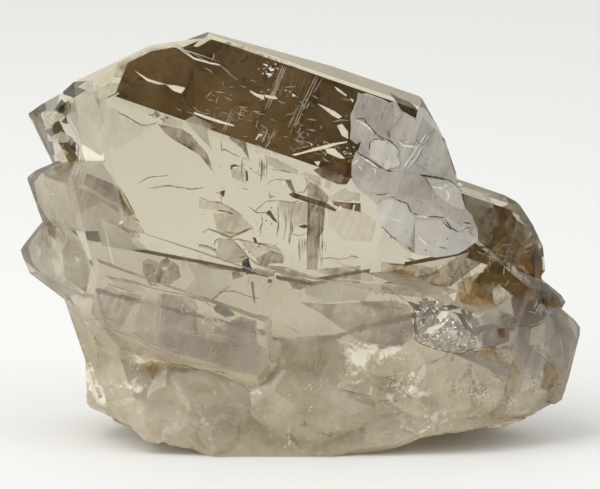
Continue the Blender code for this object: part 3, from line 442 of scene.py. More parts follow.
MOTTLED_FACETS = {
    "right_cloud": [(25.5, 31.7), (29.6, 33.4), (33.1, 33.4), (34.2, 30.8), (31.3, 27.3), (28.4, 26.8),
        (26.1, 28.2)],
    "corner_mottle": [(29.9, 24.7), (33.1, 25.3), (34.2, 24.7), (35.1, 21), (34.8, 19.5), (33.1, 18.8),
        (30.7, 18.8), (30.2, 21.9)],
    "silver_side": [(22.6, 21), (25, 19.5), (25.5, 16.1), (25, 17.2)],
    "right_crystal_top": [(25, 36.3), (30.8, 35.4), (33, 32.7), (34.2, 29.1), (32.8, 29.8), (27.7, 29.8),
        (25.5, 32.7)],
    "band_red": [(-10.9, 59.5), (-7.7, 58.7), (-3.6, 57), (-5.3, 53), (-8.5, 53.9), (-11.4, 56.6),
        (-12.8, 58.2)],
    "band_right": [(2.6, 53.9), (7.5, 52.2), (6.5, 48.6), (1.2, 46.7), (-0.3, 48.1), (1.2, 50.5)],
    "band_middle": [(-10.2, 52.2), (-6, 51.3), (-4.1, 51.5), (-3.6, 49.6), (-5.6, 46.7), (-7.7, 45.7),
        (-9.7, 48.1)],
    "band_low_right": [(-2.2, 46.7), (1.2, 46.7), (6, 48.1), (6.5, 45.7), (1.2, 44.5), (-1.2, 43.8)],
    "band_mottle_left": [(-26.6, 56.2), (-20.8, 58.4), (-15.7, 56.6), (-13.5, 53), (-15.7, 50.4),
        (-20.8, 51.9), (-25.1, 54)],
    "right_body": [(23.5, 36.3, 0.1), (27, 35.9, 0.35), (30.6, 33.4, 0.9), (33.5, 31.2), (34.9, 27.2),
        (33.9, 25.5), (30.6, 26, 0.9), (27.7, 27.2, 0.8), (25.2, 28.1, 0.5), (24.1, 31.2, 0.2)],
}
# Patches on the base whitened by the same mask, as outlines of the same kind: partly fresh, crazed fracture,
# partly painted glare and highlights on its ledges and cliffs
FROST_AND_GLARE_PATCHES = {
    "chip": [(6.1, 15), (8.9, 16.2), (12.5, 16.5), (14, 15.7), (13.2, 14.6), (10.3, 14.2), (8.9, 12.4),
        (7.1, 12.4), (6.9, 10.6), (6.2, 10.4), (6.5, 12.4)],
    "ledge_glare": [(16.1, 5.8), (18.3, 6.8), (19.8, 6.3), (21.2, 5.2), (19.8, 4.3), (17.6, 5.2)],
    "right_glare": [(23.6, 10.1), (24.8, 9.6), (28.1, 7.7), (27, 7.4), (24.8, 8.5)],
    "end_glare": [(28.2, 7.7), (29.5, 8.6), (31.1, 8.3), (30.6, 7.4), (29.1, 6.9)],
    "low_ridge": [(23, 6.7), (25.5, 6.1), (28.1, 6.8), (26.6, 5.2), (24.4, 4.6), (24.8, 5.6)],
    "mid_patch": [(12.5, 11), (14.3, 11.4), (16.9, 10.6), (19.8, 9.6), (18.3, 8.1), (15.4, 8.5), (13.2, 9.2)],
    "side_patch": [(11.1, 8.8), (13.2, 9), (14, 7.7), (12.5, 6.7), (10.7, 7.4)],
    "left_patch": [(-28.5, 11.4), (-25.8, 11.2), (-23.6, 11.4), (-22.2, 9.6), (-23.6, 8.1), (-25.8, 9.2),
        (-28, 9.6)],
    "left_foot": [(-32.3, 12.4), (-29.5, 12.4), (-28.9, 11), (-26.9, 5.9), (-30.2, 7), (-32.5, 10.6)],
    "little_ridge": [(-8.1, 10.1), (-5.6, 10.4), (-5.4, 9.6), (-7.4, 9)],
    "corner_patch": [(32, 11.4), (34.2, 11.7), (35.7, 10.6), (34.2, 9.6), (32.4, 10.1)],
    "gold_patch": [(32.3, 11.3), (33.6, 11.7), (35.4, 10.6), (34.2, 9.8), (32.8, 10.3)],
    "crackle_ring": [(-25.7, 15.2), (-23.6, 15.9), (-22.5, 14.6), (-22.8, 12.9), (-24.8, 12.6),
        (-25.7, 13.7)],
    "ring": [(-25.4, 15.3), (-24.2, 16.2), (-22.5, 15.6), (-22.2, 13.9), (-23.4, 12.2), (-24.8, 12.7),
        (-25.7, 13.9)],
    "left_spot_a": [(-27.7, 11.6), (-26, 11.6), (-26, 10.6), (-27.4, 10.6)],
    "left_spot_b": [(-25, 11.7), (-23.6, 11.6), (-22.9, 9.8), (-23.6, 9.4), (-25, 10.4)],
    "left_spot_c": [(-28.6, 10.1), (-27.1, 10.4), (-26.8, 8.7), (-28, 8.7)],
    "low_spot": [(-8.3, 10.1), (-6, 10.7), (-5.4, 9.6), (-6.6, 8.4), (-8, 8.7)],
    "cliff_a": [(15.7, 5.6), (18, 6.9), (19.8, 7.8), (20.6, 6.7), (21.5, 5.2), (20.6, 4), (19.2, 5.2),
        (17.4, 5.2)],
    "cliff_b": [(23.8, 10.1), (25.2, 9.6), (27.9, 8.1), (27.6, 7.5), (25.8, 7.8), (24.4, 9)],
    "cliff_c": [(28.4, 8.4), (29.9, 9), (31, 7.8), (29.9, 6.9), (28.7, 7.2)],
    "cliff_d": [(22.9, 6.9), (25, 6.7), (26.4, 6.1), (28.1, 7.2), (28.4, 6.7), (25.5, 4.6), (24.1, 5.8)],
    "cliff_e": [(31.6, 11.3), (33.4, 11.9), (34.8, 10.7), (34.2, 9.8), (32.5, 10.1)],
    "scree_a": [(9, 13.6), (10.2, 14.8), (12.8, 15.3), (15.1, 15.1), (14.5, 13.6), (12.2, 13.6),
        (10.8, 12.7)],
    "scree_b": [(14.5, 12.4), (15.7, 13.3), (16.9, 12.7), (16, 11.3), (14.8, 11.3)],
    "scree_c": [(11.1, 9.3), (12.8, 9.8), (14, 8.7), (12.5, 7.8), (11.4, 7.8)],
    "scree_d": [(12.8, 11), (13.7, 11.6), (14.2, 10.4), (13.4, 9.8)],
    "scree_e": [(20.9, 11), (21.8, 11.3), (22.1, 9.8), (21.2, 9.8)],
}

# Cracks, as lines (x, v) in the plate's frame
# Dark lines: partly dark cracks, partly painted shade along the edges of steps and of the silver fracture
DARK_LINES = [
    [(-10.51, 31.61), (-9.19, 32.33), (-7.74, 32.94)],
    [(-8.1, 36.12), (-6.9, 35.35), (-6.49, 35.11), (-5.69, 35.11), (-4.97, 35.4)],
    [(-6.05, 34.99), (-5.93, 33.66), (-6.17, 32.94), (-6.24, 31.73)],
    [(-12.8, 38.19), (-11.84, 37.88), (-11.67, 36.67)],
    [(-11.6, 38.72), (-11.24, 38.53)],
    [(-8.95, 38.6), (-8.34, 38.53), (-7.74, 38.36)],
    [(-12.2, 35.47), (-11.12, 35.3), (-10.03, 35.03)],
    [(-5.33, 39.21), (-4.36, 39.81), (-3.64, 39.93), (-2.44, 39.81), (-1.83, 39.93)],
    [(-4.85, 38.24), (-4.77, 37.08)],
    [(-12.56, 29.92), (-12.27, 28.6)],
    [(2.39, 28.48), (3.59, 28.72), (5.04, 28.48), (6.24, 28.6), (6.85, 28.96), (7.93, 28.64)],
    [(-1.59, 33.37), (-1.59, 32.21)],
    [(-2.07, 32.21), (-2.07, 30.53)],
    [(1.66, 36.55), (1.9, 36.26)],
    [(-11.77, 44.03), (-11.77, 45.47)],
    [(-4.36, 30.53), (-3.88, 30.53), (-3.74, 30.86)],
    [(6.73, 28.36), (7.33, 28.48)],
    [(-9.19, 28.72), (-8.1, 28.96)],
    [(-8.95, 34.87), (-8.66, 34.58)],
    [(-0.51, 33.3), (-1.47, 33.18)],
    [(5.64, 36.91), (6.97, 36.91)],
    [(34.21, 23.87), (35.23, 20.98), (37.25, 21.99)],
    [(15.7, 17.22), (16.85, 16.35), (19.46, 15.48)],
    [(24.96, 16.06), (22.64, 14.9), (19.75, 15.42)],
    [(15.12, 22.28), (15.99, 20.69), (15.84, 18.95), (16.28, 17.65)],
    [(30.31, 20.11), (30.74, 18.81), (33.06, 18.81), (34.79, 19.53)],
    [(33.64, 27.92), (33.78, 27.63)],
    [(33.93, 25.61), (35.23, 26.47)],
    [(29.73, 23), (30.31, 21.27)],
    [(11.36, 29.22), (11.47, 29.14)],
    [(-12.37, 29.08), (-12.31, 28.5)],
    [(-21.63, 25.03), (-20.76, 24.59)],
    [(-13.24, 21.85), (-12.66, 21.5)],
    [(-7.6, 23.29), (-6.73, 22.86)],
    [(-9.19, 28.79), (-8.32, 28.64)],
    [(-19.02, 13.45), (-16.71, 13.31), (-14.97, 12.59)],
    [(-39.28, 49.48), (-38.41, 47.31), (-37.11, 44.7), (-36.38, 43.55)],
    [(-33.78, 46.29), (-32.33, 44.7), (-32.48, 42.97)],
    [(-34.79, 51.42), (-33.93, 50.63)],
    [(-26.73, 49.62), (-25.1, 48.79), (-23.29, 47.7), (-22.21, 47.6), (-20.76, 48.18)],
    [(-17.51, 52.23), (-16.96, 50.78), (-16.06, 49.69)],
    [(-23.65, 39.39), (-22.21, 40.22), (-19.31, 40.44)],
]
TAN_LINES = [
    [(-14.97, 37.4), (-13.53, 36.79), (-11.84, 36.55), (-10.63, 35.95), (-9.43, 35.23), (-8.66, 34.62)],
    [(-13.53, 32.82), (-12.32, 32.45), (-10.51, 31.61)],
    [(-12.8, 30.28), (-12.68, 31.01), (-12.32, 31.37), (-11.36, 31.37), (-10.15, 31.25), (-9.43, 31.37),
     (-7.26, 30.89), (-5.33, 30.4), (-4.12, 30.04), (-3.16, 29.32)],
    [(-10.03, 31.13), (-9.19, 30.28), (-7.98, 28.84), (-6.78, 27.87), (-5.33, 27.51)],
    [(-3.64, 36.91), (-1.71, 36.55), (-0.51, 36.91)],
    [(-1.23, 38.12), (0.1, 38.12), (0.58, 38.96), (0.46, 39.93), (-0.02, 40.29)],
    [(-11.77, 44.03), (-11.36, 44.27), (-10.15, 43.55), (-9.07, 43.18)],
    [(-14.97, 30.65), (-13.53, 30.28), (-12.47, 29.9)],
    [(-8.95, 41.74), (-8.22, 41.13)],
    [(-7.74, 32.94), (-7.02, 32.21)],
    [(-4.61, 41.38), (-2.92, 41.13), (-1.47, 40.85)],
    [(-6.9, 35.35), (-6.53, 35.83), (-5.33, 36.79), (-3.64, 36.91)],
    [(0.46, 32.21), (0.7, 32.7), (0.46, 33.37)],
    [(-14.97, 34.87), (-14.25, 34.99)],
    [(-3.04, 29.2), (-2.92, 27.87)],
    [(-1.95, 32.21), (-0.51, 31.85), (0.46, 32.21)],
    [(-28.28, 26.04), (-26.55, 25.75), (-24.23, 25.32), (-22.5, 24.59), (-20.18, 24.02), (-17.87, 23.58),
     (-15.55, 23), (-13.82, 22.28), (-13.24, 21.56)],
    [(-34.5, 23.58), (-32.04, 20.69), (-31.18, 19.68), (-29.73, 19.1)],
    [(-31.18, 19.1), (-30.02, 17.51), (-29.59, 15.48), (-29.44, 12.01)],
    [(-29.73, 18.89), (-27.13, 18.23), (-24.23, 17.36), (-21.63, 15.91), (-19.02, 14.76), (-16.71, 13.89),
     (-12.66, 13.16), (-6.29, 11.86)],
    [(-17.87, 28.79), (-16.13, 28.21), (-13.82, 27.78), (-11.5, 27.49), (-9.77, 26.82)],
    [(-12.08, 23.87), (-10.05, 23.93), (-7.74, 23.15), (-6.29, 22.86)],
    [(-13.24, 22.57), (-12.08, 23.44), (-10.34, 24.74)],
    [(-27.99, 25.03), (-25.68, 24.16), (-23.94, 23.73)],
    [(-31.18, 19.82), (-27.99, 20.11), (-25.39, 18.95)],
    [(11.07, 33.27), (12.8, 31.68), (15.41, 29.95), (16.56, 29.14)],
    [(14.54, 22.57), (12.8, 23.87), (11.07, 24.74)],
    [(11.07, 25.75), (14.54, 25.46), (18.01, 24.74), (20.62, 24.74)],
    [(24.38, 21.85), (24.96, 20.98)],
    [(35.08, 20.98), (35.37, 19.82)],
    [(32.48, 16.2), (36.24, 12.88), (37.25, 11.72)],
    [(25.53, 16.06), (28.43, 15.48), (29.59, 16.35)],
    [(31.03, 8.25), (33.64, 9.11), (36.24, 10.27)],
    [(33.06, 23.58), (34.21, 24.74)],
    [(30.74, 18.66), (33.64, 18.81), (34.94, 19.53)],
    [(32.62, 27.63), (33.93, 25.03), (34.21, 23.87)],
    [(-12.37, 35.44), (-11.21, 35.3), (-10.05, 34.87)],
    [(-14.54, 32.26), (-13.53, 32.84), (-11.36, 31.83), (-10.34, 31.54), (-7.45, 32.98)],
    [(-7.02, 30.81), (-5.14, 30.67), (-4.12, 30.38), (-3.11, 29.51)],
    [(-8.75, 42.82), (-8.9, 41.38), (-8.75, 39.64)],
    [(-6, 42.82), (-5.86, 41.09), (-6.15, 39.64)],
    [(-2.53, 35.15), (-2.53, 33.27), (-2.82, 31.25)],
    [(-1.81, 35.01), (-1.81, 32.7), (-1.95, 30.96)],
    [(-3.69, 36.31), (-3.54, 33.85), (-3.83, 31.54)],
    [(-22.21, 38.63), (-19.31, 39.06), (-16.13, 38.48), (-14.25, 38.77)],
    [(-11.36, 32.41), (-9.19, 32.12), (-7.74, 32.7)],
]
# Bright lines: partly pale cracks and growth lines, partly painted highlights, such as the streaks of glare
# along the second tip's edge
LIGHT_LINES = [
    [(1.78, 54.76), (-0.02, 51.02), (-1.47, 47.4)],
    [(2.1, 54.59), (0.34, 50.9), (-1.23, 47.28)],
    [(2.63, 54.28), (2.03, 53.19), (1.42, 52.35)],
    [(-2.44, 56.08), (-3.64, 53.19), (-5.09, 50.06)],
    [(-2.92, 56.32), (-4.12, 53.19), (-5.57, 49.81)],
    [(-2.68, 56.13), (-3.88, 53.19), (-4.73, 51.26)],
    [(-9.91, 49.81), (-10.63, 48.13), (-11.36, 46.68)],
    [(-10.27, 49.81), (-10.99, 48.13), (-11.72, 46.68)],
    [(-5.09, 47.04), (-5.69, 45.72), (-6.05, 45.23)],
    [(-4.12, 47.16), (-4.73, 45.72), (-5.09, 44.94)],
    [(0.1, 46.87), (-1.23, 45.55)],
    [(-9.31, 49.57), (-8.34, 49.38)],
    [(-8.82, 50.3), (-9.31, 48.61), (-8.75, 48.56)],
    [(-7.38, 49.69), (-6.29, 49.33), (-5.45, 49.14)],
    [(-7.38, 49.57), (-7.74, 48.61)],
    [(-4.85, 48.61), (-3.88, 48.25)],
    [(-2.56, 49.14), (-1.83, 49.28), (-1.23, 49.57)],
    [(-15.7, 57.89), (-14.25, 57.05), (-13.29, 56.61)],
    [(-13.16, 56.93), (-12.85, 57.53), (-12.85, 58.01)],
    [(-7.62, 54.15), (-6.78, 53.91)],
    [(-2.68, 53.14), (-1.95, 53.19), (-1.11, 53.24)],
    [(-3.76, 51.21), (-3.16, 50.97), (-2.63, 50.78)],
    [(-14.13, 55.96), (-13.04, 55.24), (-13.41, 55)],
    [(4.07, 48.2), (5.28, 48.42), (6.49, 48.37)],
    [(-1.23, 50.66), (-0.27, 50.42)],
    [(-0.75, 50.54), (-2.19, 47.4)],
    [(-11.84, 56.2), (-10.39, 54.88), (-9.43, 54.15)],
    [(-6.78, 44.99), (-5.57, 44.27), (-4.61, 43.3)],
    [(-6.53, 48.37), (-6.78, 47.64), (-6.41, 47.04)],
    [(-12.56, 48.61), (-12.8, 48.13)],
    [(-13.89, 47.04), (-12.56, 47.52)],
    [(-1.23, 44.27), (0.94, 44.75)],
    [(-3.64, 52.95), (-3.16, 52.47)],
    [(0.22, 51.38), (0.7, 51.21)],
    [(5.52, 51.5), (6.73, 51.21)],
    [(6, 48.85), (6.37, 49.21)],
    [(-32.33, 43.55), (-32.85, 41.52), (-33.35, 39.78)],
    [(-31.9, 43.26), (-32.33, 41.52), (-32.77, 39.49)],
    [(-31.47, 42.97), (-31.9, 40.94), (-32.33, 39.21)],
    [(-31.03, 42.68), (-31.32, 40.65), (-31.9, 39.06)],
    [(-33.93, 51.94), (-33.78, 50.49), (-33.84, 48.46), (-32.77, 46.44), (-32.33, 44.7)],
    [(-38.99, 39.49), (-38.27, 37.18), (-37.4, 34.87)],
    [(-38.7, 40.65), (-38.55, 38.92), (-37.54, 36.02)],
    [(-36.96, 29.95), (-34.36, 29.72), (-31.18, 29.37)],
    [(-37.54, 40.8), (-36.38, 41.66), (-33.78, 42.68)],
    [(-34.07, 39.21), (-33.2, 36.02), (-32.48, 33.13)],
    [(-33.06, 29.37), (-32.91, 28.21)],
    [(-32.62, 29.51), (-32.48, 27.92)],
    [(-31.18, 44.41), (-30.31, 42.68), (-28.28, 41.23), (-27.99, 39.78)],
    [(-30.89, 41.81), (-29.15, 40.65)],
    [(-34.94, 46.73), (-36.53, 46.01)],
    [(-35.95, 49.62), (-36.96, 48.75), (-36.38, 47.45)],
    [(-29.44, 48.75), (-28.28, 45.28)],
    [(-40.72, 29.08), (-39.86, 31.97), (-38.84, 32.55)],
    [(-30.02, 19.1), (-27.13, 18.52), (-24.23, 17.65), (-21.63, 16.35)],
    [(-17.87, 18.37), (-14.39, 18.08), (-10.34, 17.07), (-8.9, 16.35)],
    [(-12.08, 16.35), (-10.63, 15.48)],
    [(-17.14, 29.08), (-16.85, 26.76)],
    [(-14.6, 27.92), (-14.51, 26.19)],
    [(-6.87, 19.53), (-6.52, 16.35)],
    [(-21.63, 26.47), (-20.76, 25.61), (-20.18, 25.9)],
    [(-16.71, 23.29), (-13.82, 22.42)],
    [(-25.1, 21.85), (-23.07, 23)],
    [(34.21, 25.75), (35.95, 24.16), (37.4, 22.71)],
    [(37.25, 20.98), (38.84, 19.82), (39.86, 18.66)],
    [(24.67, 20.25), (27.27, 21.56), (29.73, 23)],
    [(32.48, 16.2), (34.21, 14.9), (35.95, 13.45)],
    [(15.41, 23.87), (17.14, 24.74), (19.75, 26.19)],
    [(28.43, 16.06), (29.59, 16.2)],
    [(31.9, 27.2), (33.2, 25.61)],
    [(23.22, 28.5), (23.36, 26.76)],
    [(37.25, 11.72), (35.95, 13.16)],
    [(24.96, 21.85), (24.38, 20.69)],
    [(18.01, 26.47), (18.88, 26.62)],
    [(22.06, 24.74), (23.51, 25.75)],
    [(34.5, 15.77), (36.96, 17.65), (37.54, 14.9)],
    [(2.03, 12.44), (3.11, 15.7)],
    [(0.58, 12.62), (1.12, 14.61)],
    [(-0.69, 13.35), (-0.14, 14.61)],
    [(1.48, 12.44), (2.31, 14.97)],
    [(-5.45, 43.35), (-3.64, 42.58), (-0.75, 41.26)],
    [(-0.02, 40.29), (1.9, 38.96), (3.59, 37.04)],
    [(-0.51, 31.25), (-0.51, 28.11)],
    [(-2.8, 29.32), (-2.72, 28.11)],
    [(-9.19, 43.18), (-7.74, 42.58)],
    [(-3.64, 39.93), (-2.92, 39.57)],
    [(2.39, 30.53), (2.63, 26.91)],
]
# Cracks on the satin plate, drawn dark: painted shade in the cracks
SATIN_CRACKS = [
    [(7.45, 48.61), (8.66, 48.61), (9.38, 47.64), (10.34, 46.44), (11.55, 45.72), (12.51, 45.35),
     (13.48, 44.39)],
    [(12.03, 46.92), (12.27, 46.2), (12.27, 45.47)],
    [(6.61, 45.11), (7.69, 43.79), (9.38, 42.82), (10.59, 41.86), (11.79, 41.26), (12.88, 41.01)],
    [(17.1, 40.41), (17.82, 39.69), (18.54, 38.72)],
    [(12.76, 49.21), (13.12, 48.73)],
    [(13.36, 43.43), (13.53, 43.06)],
    [(13.6, 42.1), (13.84, 41.91)],
    [(17.34, 42.22), (17.7, 41.98)],
    [(19.02, 37.76), (19.02, 37.16)],
    [(16.85, 36.79), (16.97, 36.43)],
    [(19.63, 35.95), (20.47, 35.78)],
    [(23, 33.78), (24.09, 33.61)],
    [(17.7, 35.95), (17.77, 35.59)],
    [(16.13, 45.47), (16.61, 45.11), (17.22, 44.87)],
    [(21.19, 39.81), (22.4, 38.72), (22.83, 38.29)],
    [(11.31, 49.57), (11.19, 48.61)],
    [(10.34, 37.76), (11.55, 37.76), (12.03, 38)],
    [(12.51, 37.52), (14.2, 36.67), (14.93, 36.55), (15.41, 35.35), (16.61, 34.74)],
    [(17.82, 34.62), (19.02, 34.62), (20.23, 34.5), (20.59, 33.9), (21.19, 32.94), (22.4, 32.33),
     (23.85, 33.06)],
    [(9.38, 44.03), (9.5, 45.23), (10.34, 45.67), (11.79, 45.47)],
    [(19.99, 33.9), (21.19, 32.7)],
    [(14.93, 30.28), (15.89, 29.56)],
    [(12.51, 31.97), (13.48, 31.13)],
    [(19.51, 30.28), (20.71, 30.04)],
    [(15.53, 31.37), (15.7, 31.01)],
    [(8.66, 50.78), (8.41, 49.81)],
    [(16.61, 40.65), (17.58, 40.51), (19.02, 40.36), (20.47, 40.03), (21.44, 39.78)],
    [(16.73, 40.6), (17.58, 40.41), (19.02, 40.22), (20.35, 39.88)],
]
# Ridges on the satin plate, drawn white: painted highlights along them
SATIN_RIDGES = [
    [(14.44, 41.74), (15.41, 43.3), (16.37, 44.75), (17.58, 46.44)],
    [(14.93, 41.62), (16.13, 43.06), (17.1, 44.75), (18.06, 46.44)],
    [(13.48, 45.47), (14.2, 44.75), (16.13, 44.51)],
    [(7.93, 41.86), (8.29, 41.26), (8.17, 41.86)],
    [(9.74, 41.5), (10.34, 41.26), (10.22, 40.65)],
    [(11.55, 34.62), (14.68, 33.61)],
    [(7.69, 48.37), (9.14, 47.52), (10.1, 46.44)],
    [(18.06, 38.96), (19.99, 38.72), (21.19, 39.45)],
    [(6.97, 42.1), (8.41, 43.06), (10.59, 41.62)],
    [(20.23, 39.45), (20.95, 37.52), (20.47, 36.55)],
    [(15.41, 32.7), (18.06, 30.28)],
    [(14.93, 36.55), (15.53, 35.23), (16.73, 34.62), (17.94, 34.5)],
    [(21.19, 32.82), (22.52, 32.21), (23.97, 32.94)],
]

# Bundles of growth lines: the two ends of the line that they start on, their length, and their number
LEANING_BRIGHT = [
    ((-3.8, 56.6), (-0.5, 55.7), 7, 12),
    ((-32.6, 43.5), (-30.5, 43), 4.2, 5),
    ((-12.8, 50.4), (-8.5, 49.9), 4, 10),
    ((-7.6, 26.7), (-4.1, 26.2), 2.5, 7),
    ((-15.2, 51), (-10.2, 49.6), 2.6, 14),
    ((-2.2, 56.1), (1.2, 55), 5, 10),
    ((-34.9, 25.8), (-29.1, 24.9), 4.2, 12),
    ((7.1, 42.1), (10.7, 41), 4.2, 8),
]
UPRIGHT_BRIGHT = [
    ((-33.1, 29.4), (-31.2, 29.1), 1.8, 6),
    ((-6.4, 42.6), (-5.3, 42.3), 2.6, 4),
    ((-24.5, 22.4), (-20.8, 22.9), 4.6, 9),
    ((-0.5, 31.7), (0.5, 31.5), 3.4, 4),
    ((6.7, 36.4), (7.9, 36.3), 1.2, 3),
]
UPRIGHT_DARK = [
    ((-6.4, 43.1), (-5.1, 42.8), 3.6, 7),
    ((-0.8, 31.6), (0.5, 31.4), 3.4, 6),
    ((0.8, 36.5), (3, 35.8), 8.5, 8),
    ((-2.9, 36.5), (-1.5, 36.3), 3.5, 3),
    ((2.3, 31.5), (3.4, 31.2), 3, 4),
    ((-7.5, 25.5), (-7, 25.3), 1.5, 3),
    ((-17.3, 29.1), (-16.7, 29.1), 2.6, 2),
    ((-15, 29.1), (-14.4, 29.1), 3, 2),
]

# Clusters of small flakes: their middle, their half width and half height, and their number. The glints and
# the slivers are painted glints: pale flakes that stand in for sparkle
GLINTS = [
    (-5.2, 55.5, 1.4, 1.1, 8), (-6.1, 52, 1.8, 0.8, 9), (-1.9, 52.4, 1.8, 0.9, 8), (-8.6, 38.5, 0.6, 0.2, 6),
    (-3.4, 39.7, 0.6, 0.2, 8), (-6.2, 32, 0.4, 0.4, 8), (-5.9, 30.6, 1.0, 0.3, 10),
    (-19.8, 27.2, 0.7, 0.3, 16), (-20.8, 25.3, 0.7, 0.6, 10), (-13.7, 20.2, 1.0, 1.2, 30),
    (-11.9, 19.4, 0.9, 0.3, 12), (-17.3, 21.3, 0.6, 0.6, 4), (-24.1, 14, 1.7, 1.3, 26),
    (-27.3, 11, 1.3, 0.6, 18), (-24.1, 10.8, 0.9, 0.8, 16), (-7.2, 9.7, 1.0, 0.7, 14),
    (-32.3, 28.5, 0.9, 0.7, 10), (-36.1, 48.8, 1.0, 0.9, 22), (-35.2, 45.6, 1.4, 1.2, 16),
    (-36.4, 37.5, 0.9, 1.7, 14), (-37.2, 34.3, 0.7, 0.6, 6), (-38, 29.4, 0.4, 0.7, 6),
    (13.4, 14.6, 2.3, 1.2, 39), (15.4, 12, 1.4, 1.2, 31), (25.5, 9.1, 1.7, 1.2, 44), (27.3, 8, 1.0, 0.7, 21),
    (29.6, 7.8, 1.4, 0.9, 44), (18, 5.9, 2.6, 1.2, 47), (33.4, 10.8, 1.4, 1.0, 44),
    (24.4, 23.6, 0.4, 0.9, 13), (28.4, 14.6, 1.7, 1.4, 18), (20.3, 17.2, 3.5, 1.7, 52),
    (25.5, 27.1, 0.6, 0.6, 8), (14, 8.8, 2.6, 1.7, 34), (22.6, 10.3, 3.5, 2.3, 34),
    (12.2, 11.4, 1.2, 1.7, 21), (5.6, 11.7, 0.7, 1.4, 10), (0.2, 9.6, 2.2, 2.2, 12),
    (-6.7, 9.9, 1.1, 0.5, 10), (5.3, 43.8, 1.4, 0.7, 20), (-5, 55.6, 0.7, 0.8, 8), (-0, 50.8, 0.7, 0.5, 8),
    (2.6, 44.8, 3.1, 0.5, 18),
]
# Painted glints: thin bright slivers along and across the c axis
SLIVERS = [
    (-8.3, 49.5, 1.8, 0.8, 8), (-5.4, 46.1, 1.8, 1.8, 16), (-0.1, 45.4, 1.8, 1.8, 14),
    (-12.1, 51.5, 2.9, 2.2, 12), (-15.7, 49.5, 1.4, 0.9, 8), (-6.3, 42.1, 2.2, 1.8, 10),
    (0.2, 49.3, 2.2, 3.3, 14), (3.5, 43.9, 3.3, 1.3, 20), (-22.8, 20.4, 1.7, 3.2, 34),
    (-15, 13.3, 1.7, 1.0, 14), (-10.3, 16.6, 2.9, 1.7, 26), (-16.7, 16.6, 2.9, 1.7, 16),
    (-9.2, 14.3, 2.6, 1.4, 20), (-37.8, 26.2, 1.7, 2.3, 24), (-34.1, 26.8, 2.6, 2.3, 30),
    (29.9, 20.4, 0.6, 1.7, 8), (33.6, 21.9, 0.9, 2.3, 10), (27, 24.7, 0.9, 0.7, 12),
    (18.3, 26.8, 1.7, 0.6, 16), (13.4, 26.8, 2.0, 0.6, 14), (29.6, 29.1, 3.5, 2.3, 34),
    (3.1, 12.4, 1.8, 1.4, 10), (23, 27.3, 1.8, 1.1, 10), (-4.8, 12.4, 2.2, 1.4, 12),
]
SPECKS = [
    (-21.2, 49.1, 0.5, 0.4, 26), (-19.8, 48.6, 0.9, 0.3, 8), (14.5, 45, 4.5, 5, 26), (19, 38, 3, 3.5, 16),
    (18, 32, 4, 1.5, 8), (-8, 42, 1.5, 1.5, 6), (-5, 34.5, 2, 1.5, 8), (-7.4, 30, 1.5, 0.6, 8),
    (-4, 37.5, 2, 0.5, 6), (29, 35, 2.5, 1, 8), (13, 22.5, 2, 2, 10), (-19.5, 25.5, 1.5, 1, 8),
]


def plate_point(x, v, w):
    """A point of the plate's frame, in millimetres, as a point of the standing frame, in metres."""
    return STAND_UP @ (Vector((x, w, v)) * MM)


def in_line(x, v, w):
    """Where a mark at depth w inside the quartz lies to show behind the spot (x, v)."""
    spread = (VIEW_DISTANCE - VIEW_W) / VIEW_DISTANCE + w / (VIEW_DISTANCE * QUARTZ_IOR)
    return VIEW_X + (x - VIEW_X) * spread, VIEW_V + (v - VIEW_V) * spread


def linear(hex_colour):
    """An sRGB hex colour as linear RGBA."""
    channels = [int(hex_colour[i:i + 2], 16) / 255 for i in (1, 3, 5)]
    return tuple(c / 12.92 if c <= 0.04045 else ((c + 0.055) / 1.055) ** 2.4 for c in channels) + (1.0,)


def add_node(tree, kind, settings=None, links=None):
    """Adds a shader node, sets its properties and sockets, and links sources into it: each is a node,
    whose first output it takes, or one output of a node."""
    node = tree.nodes.new("ShaderNode" + kind)
    for key, value in (settings or {}).items():
        if isinstance(key, str) and key not in node.inputs:
            setattr(node, key, value)
    for key, value in (settings or {}).items():
        if not isinstance(key, str) or key in node.inputs:
            node.inputs[key].default_value = value
    for key, source in (links or {}).items():
        output = source.outputs[0] if isinstance(source, bpy.types.Node) else source
        tree.links.new(output, node.inputs[key])
    return node


def new_material(name):
    """A material with an empty node tree."""
    material = bpy.data.materials.new(name)
    material.use_nodes = True
    material.node_tree.nodes.clear()
    return material


def growth_axes(tree):
    """The plate's frame in millimetres, and the same turned to run along c, through the plate and
    across c."""
    spot = add_node(tree, "TexCoord")
    mm = add_node(tree, "Mapping", {
        "Location": LAY_DOWN.to_translation() / MM, "Rotation": LAY_DOWN.to_euler(),
        "Scale": (1000, 1000, 1000)}, {"Vector": spot.outputs["Object"]})
    turned = add_node(tree, "Mapping", {"Rotation": (0, -C_AXIS_DIP, 0)}, {"Vector": mm})
    return mm, turned


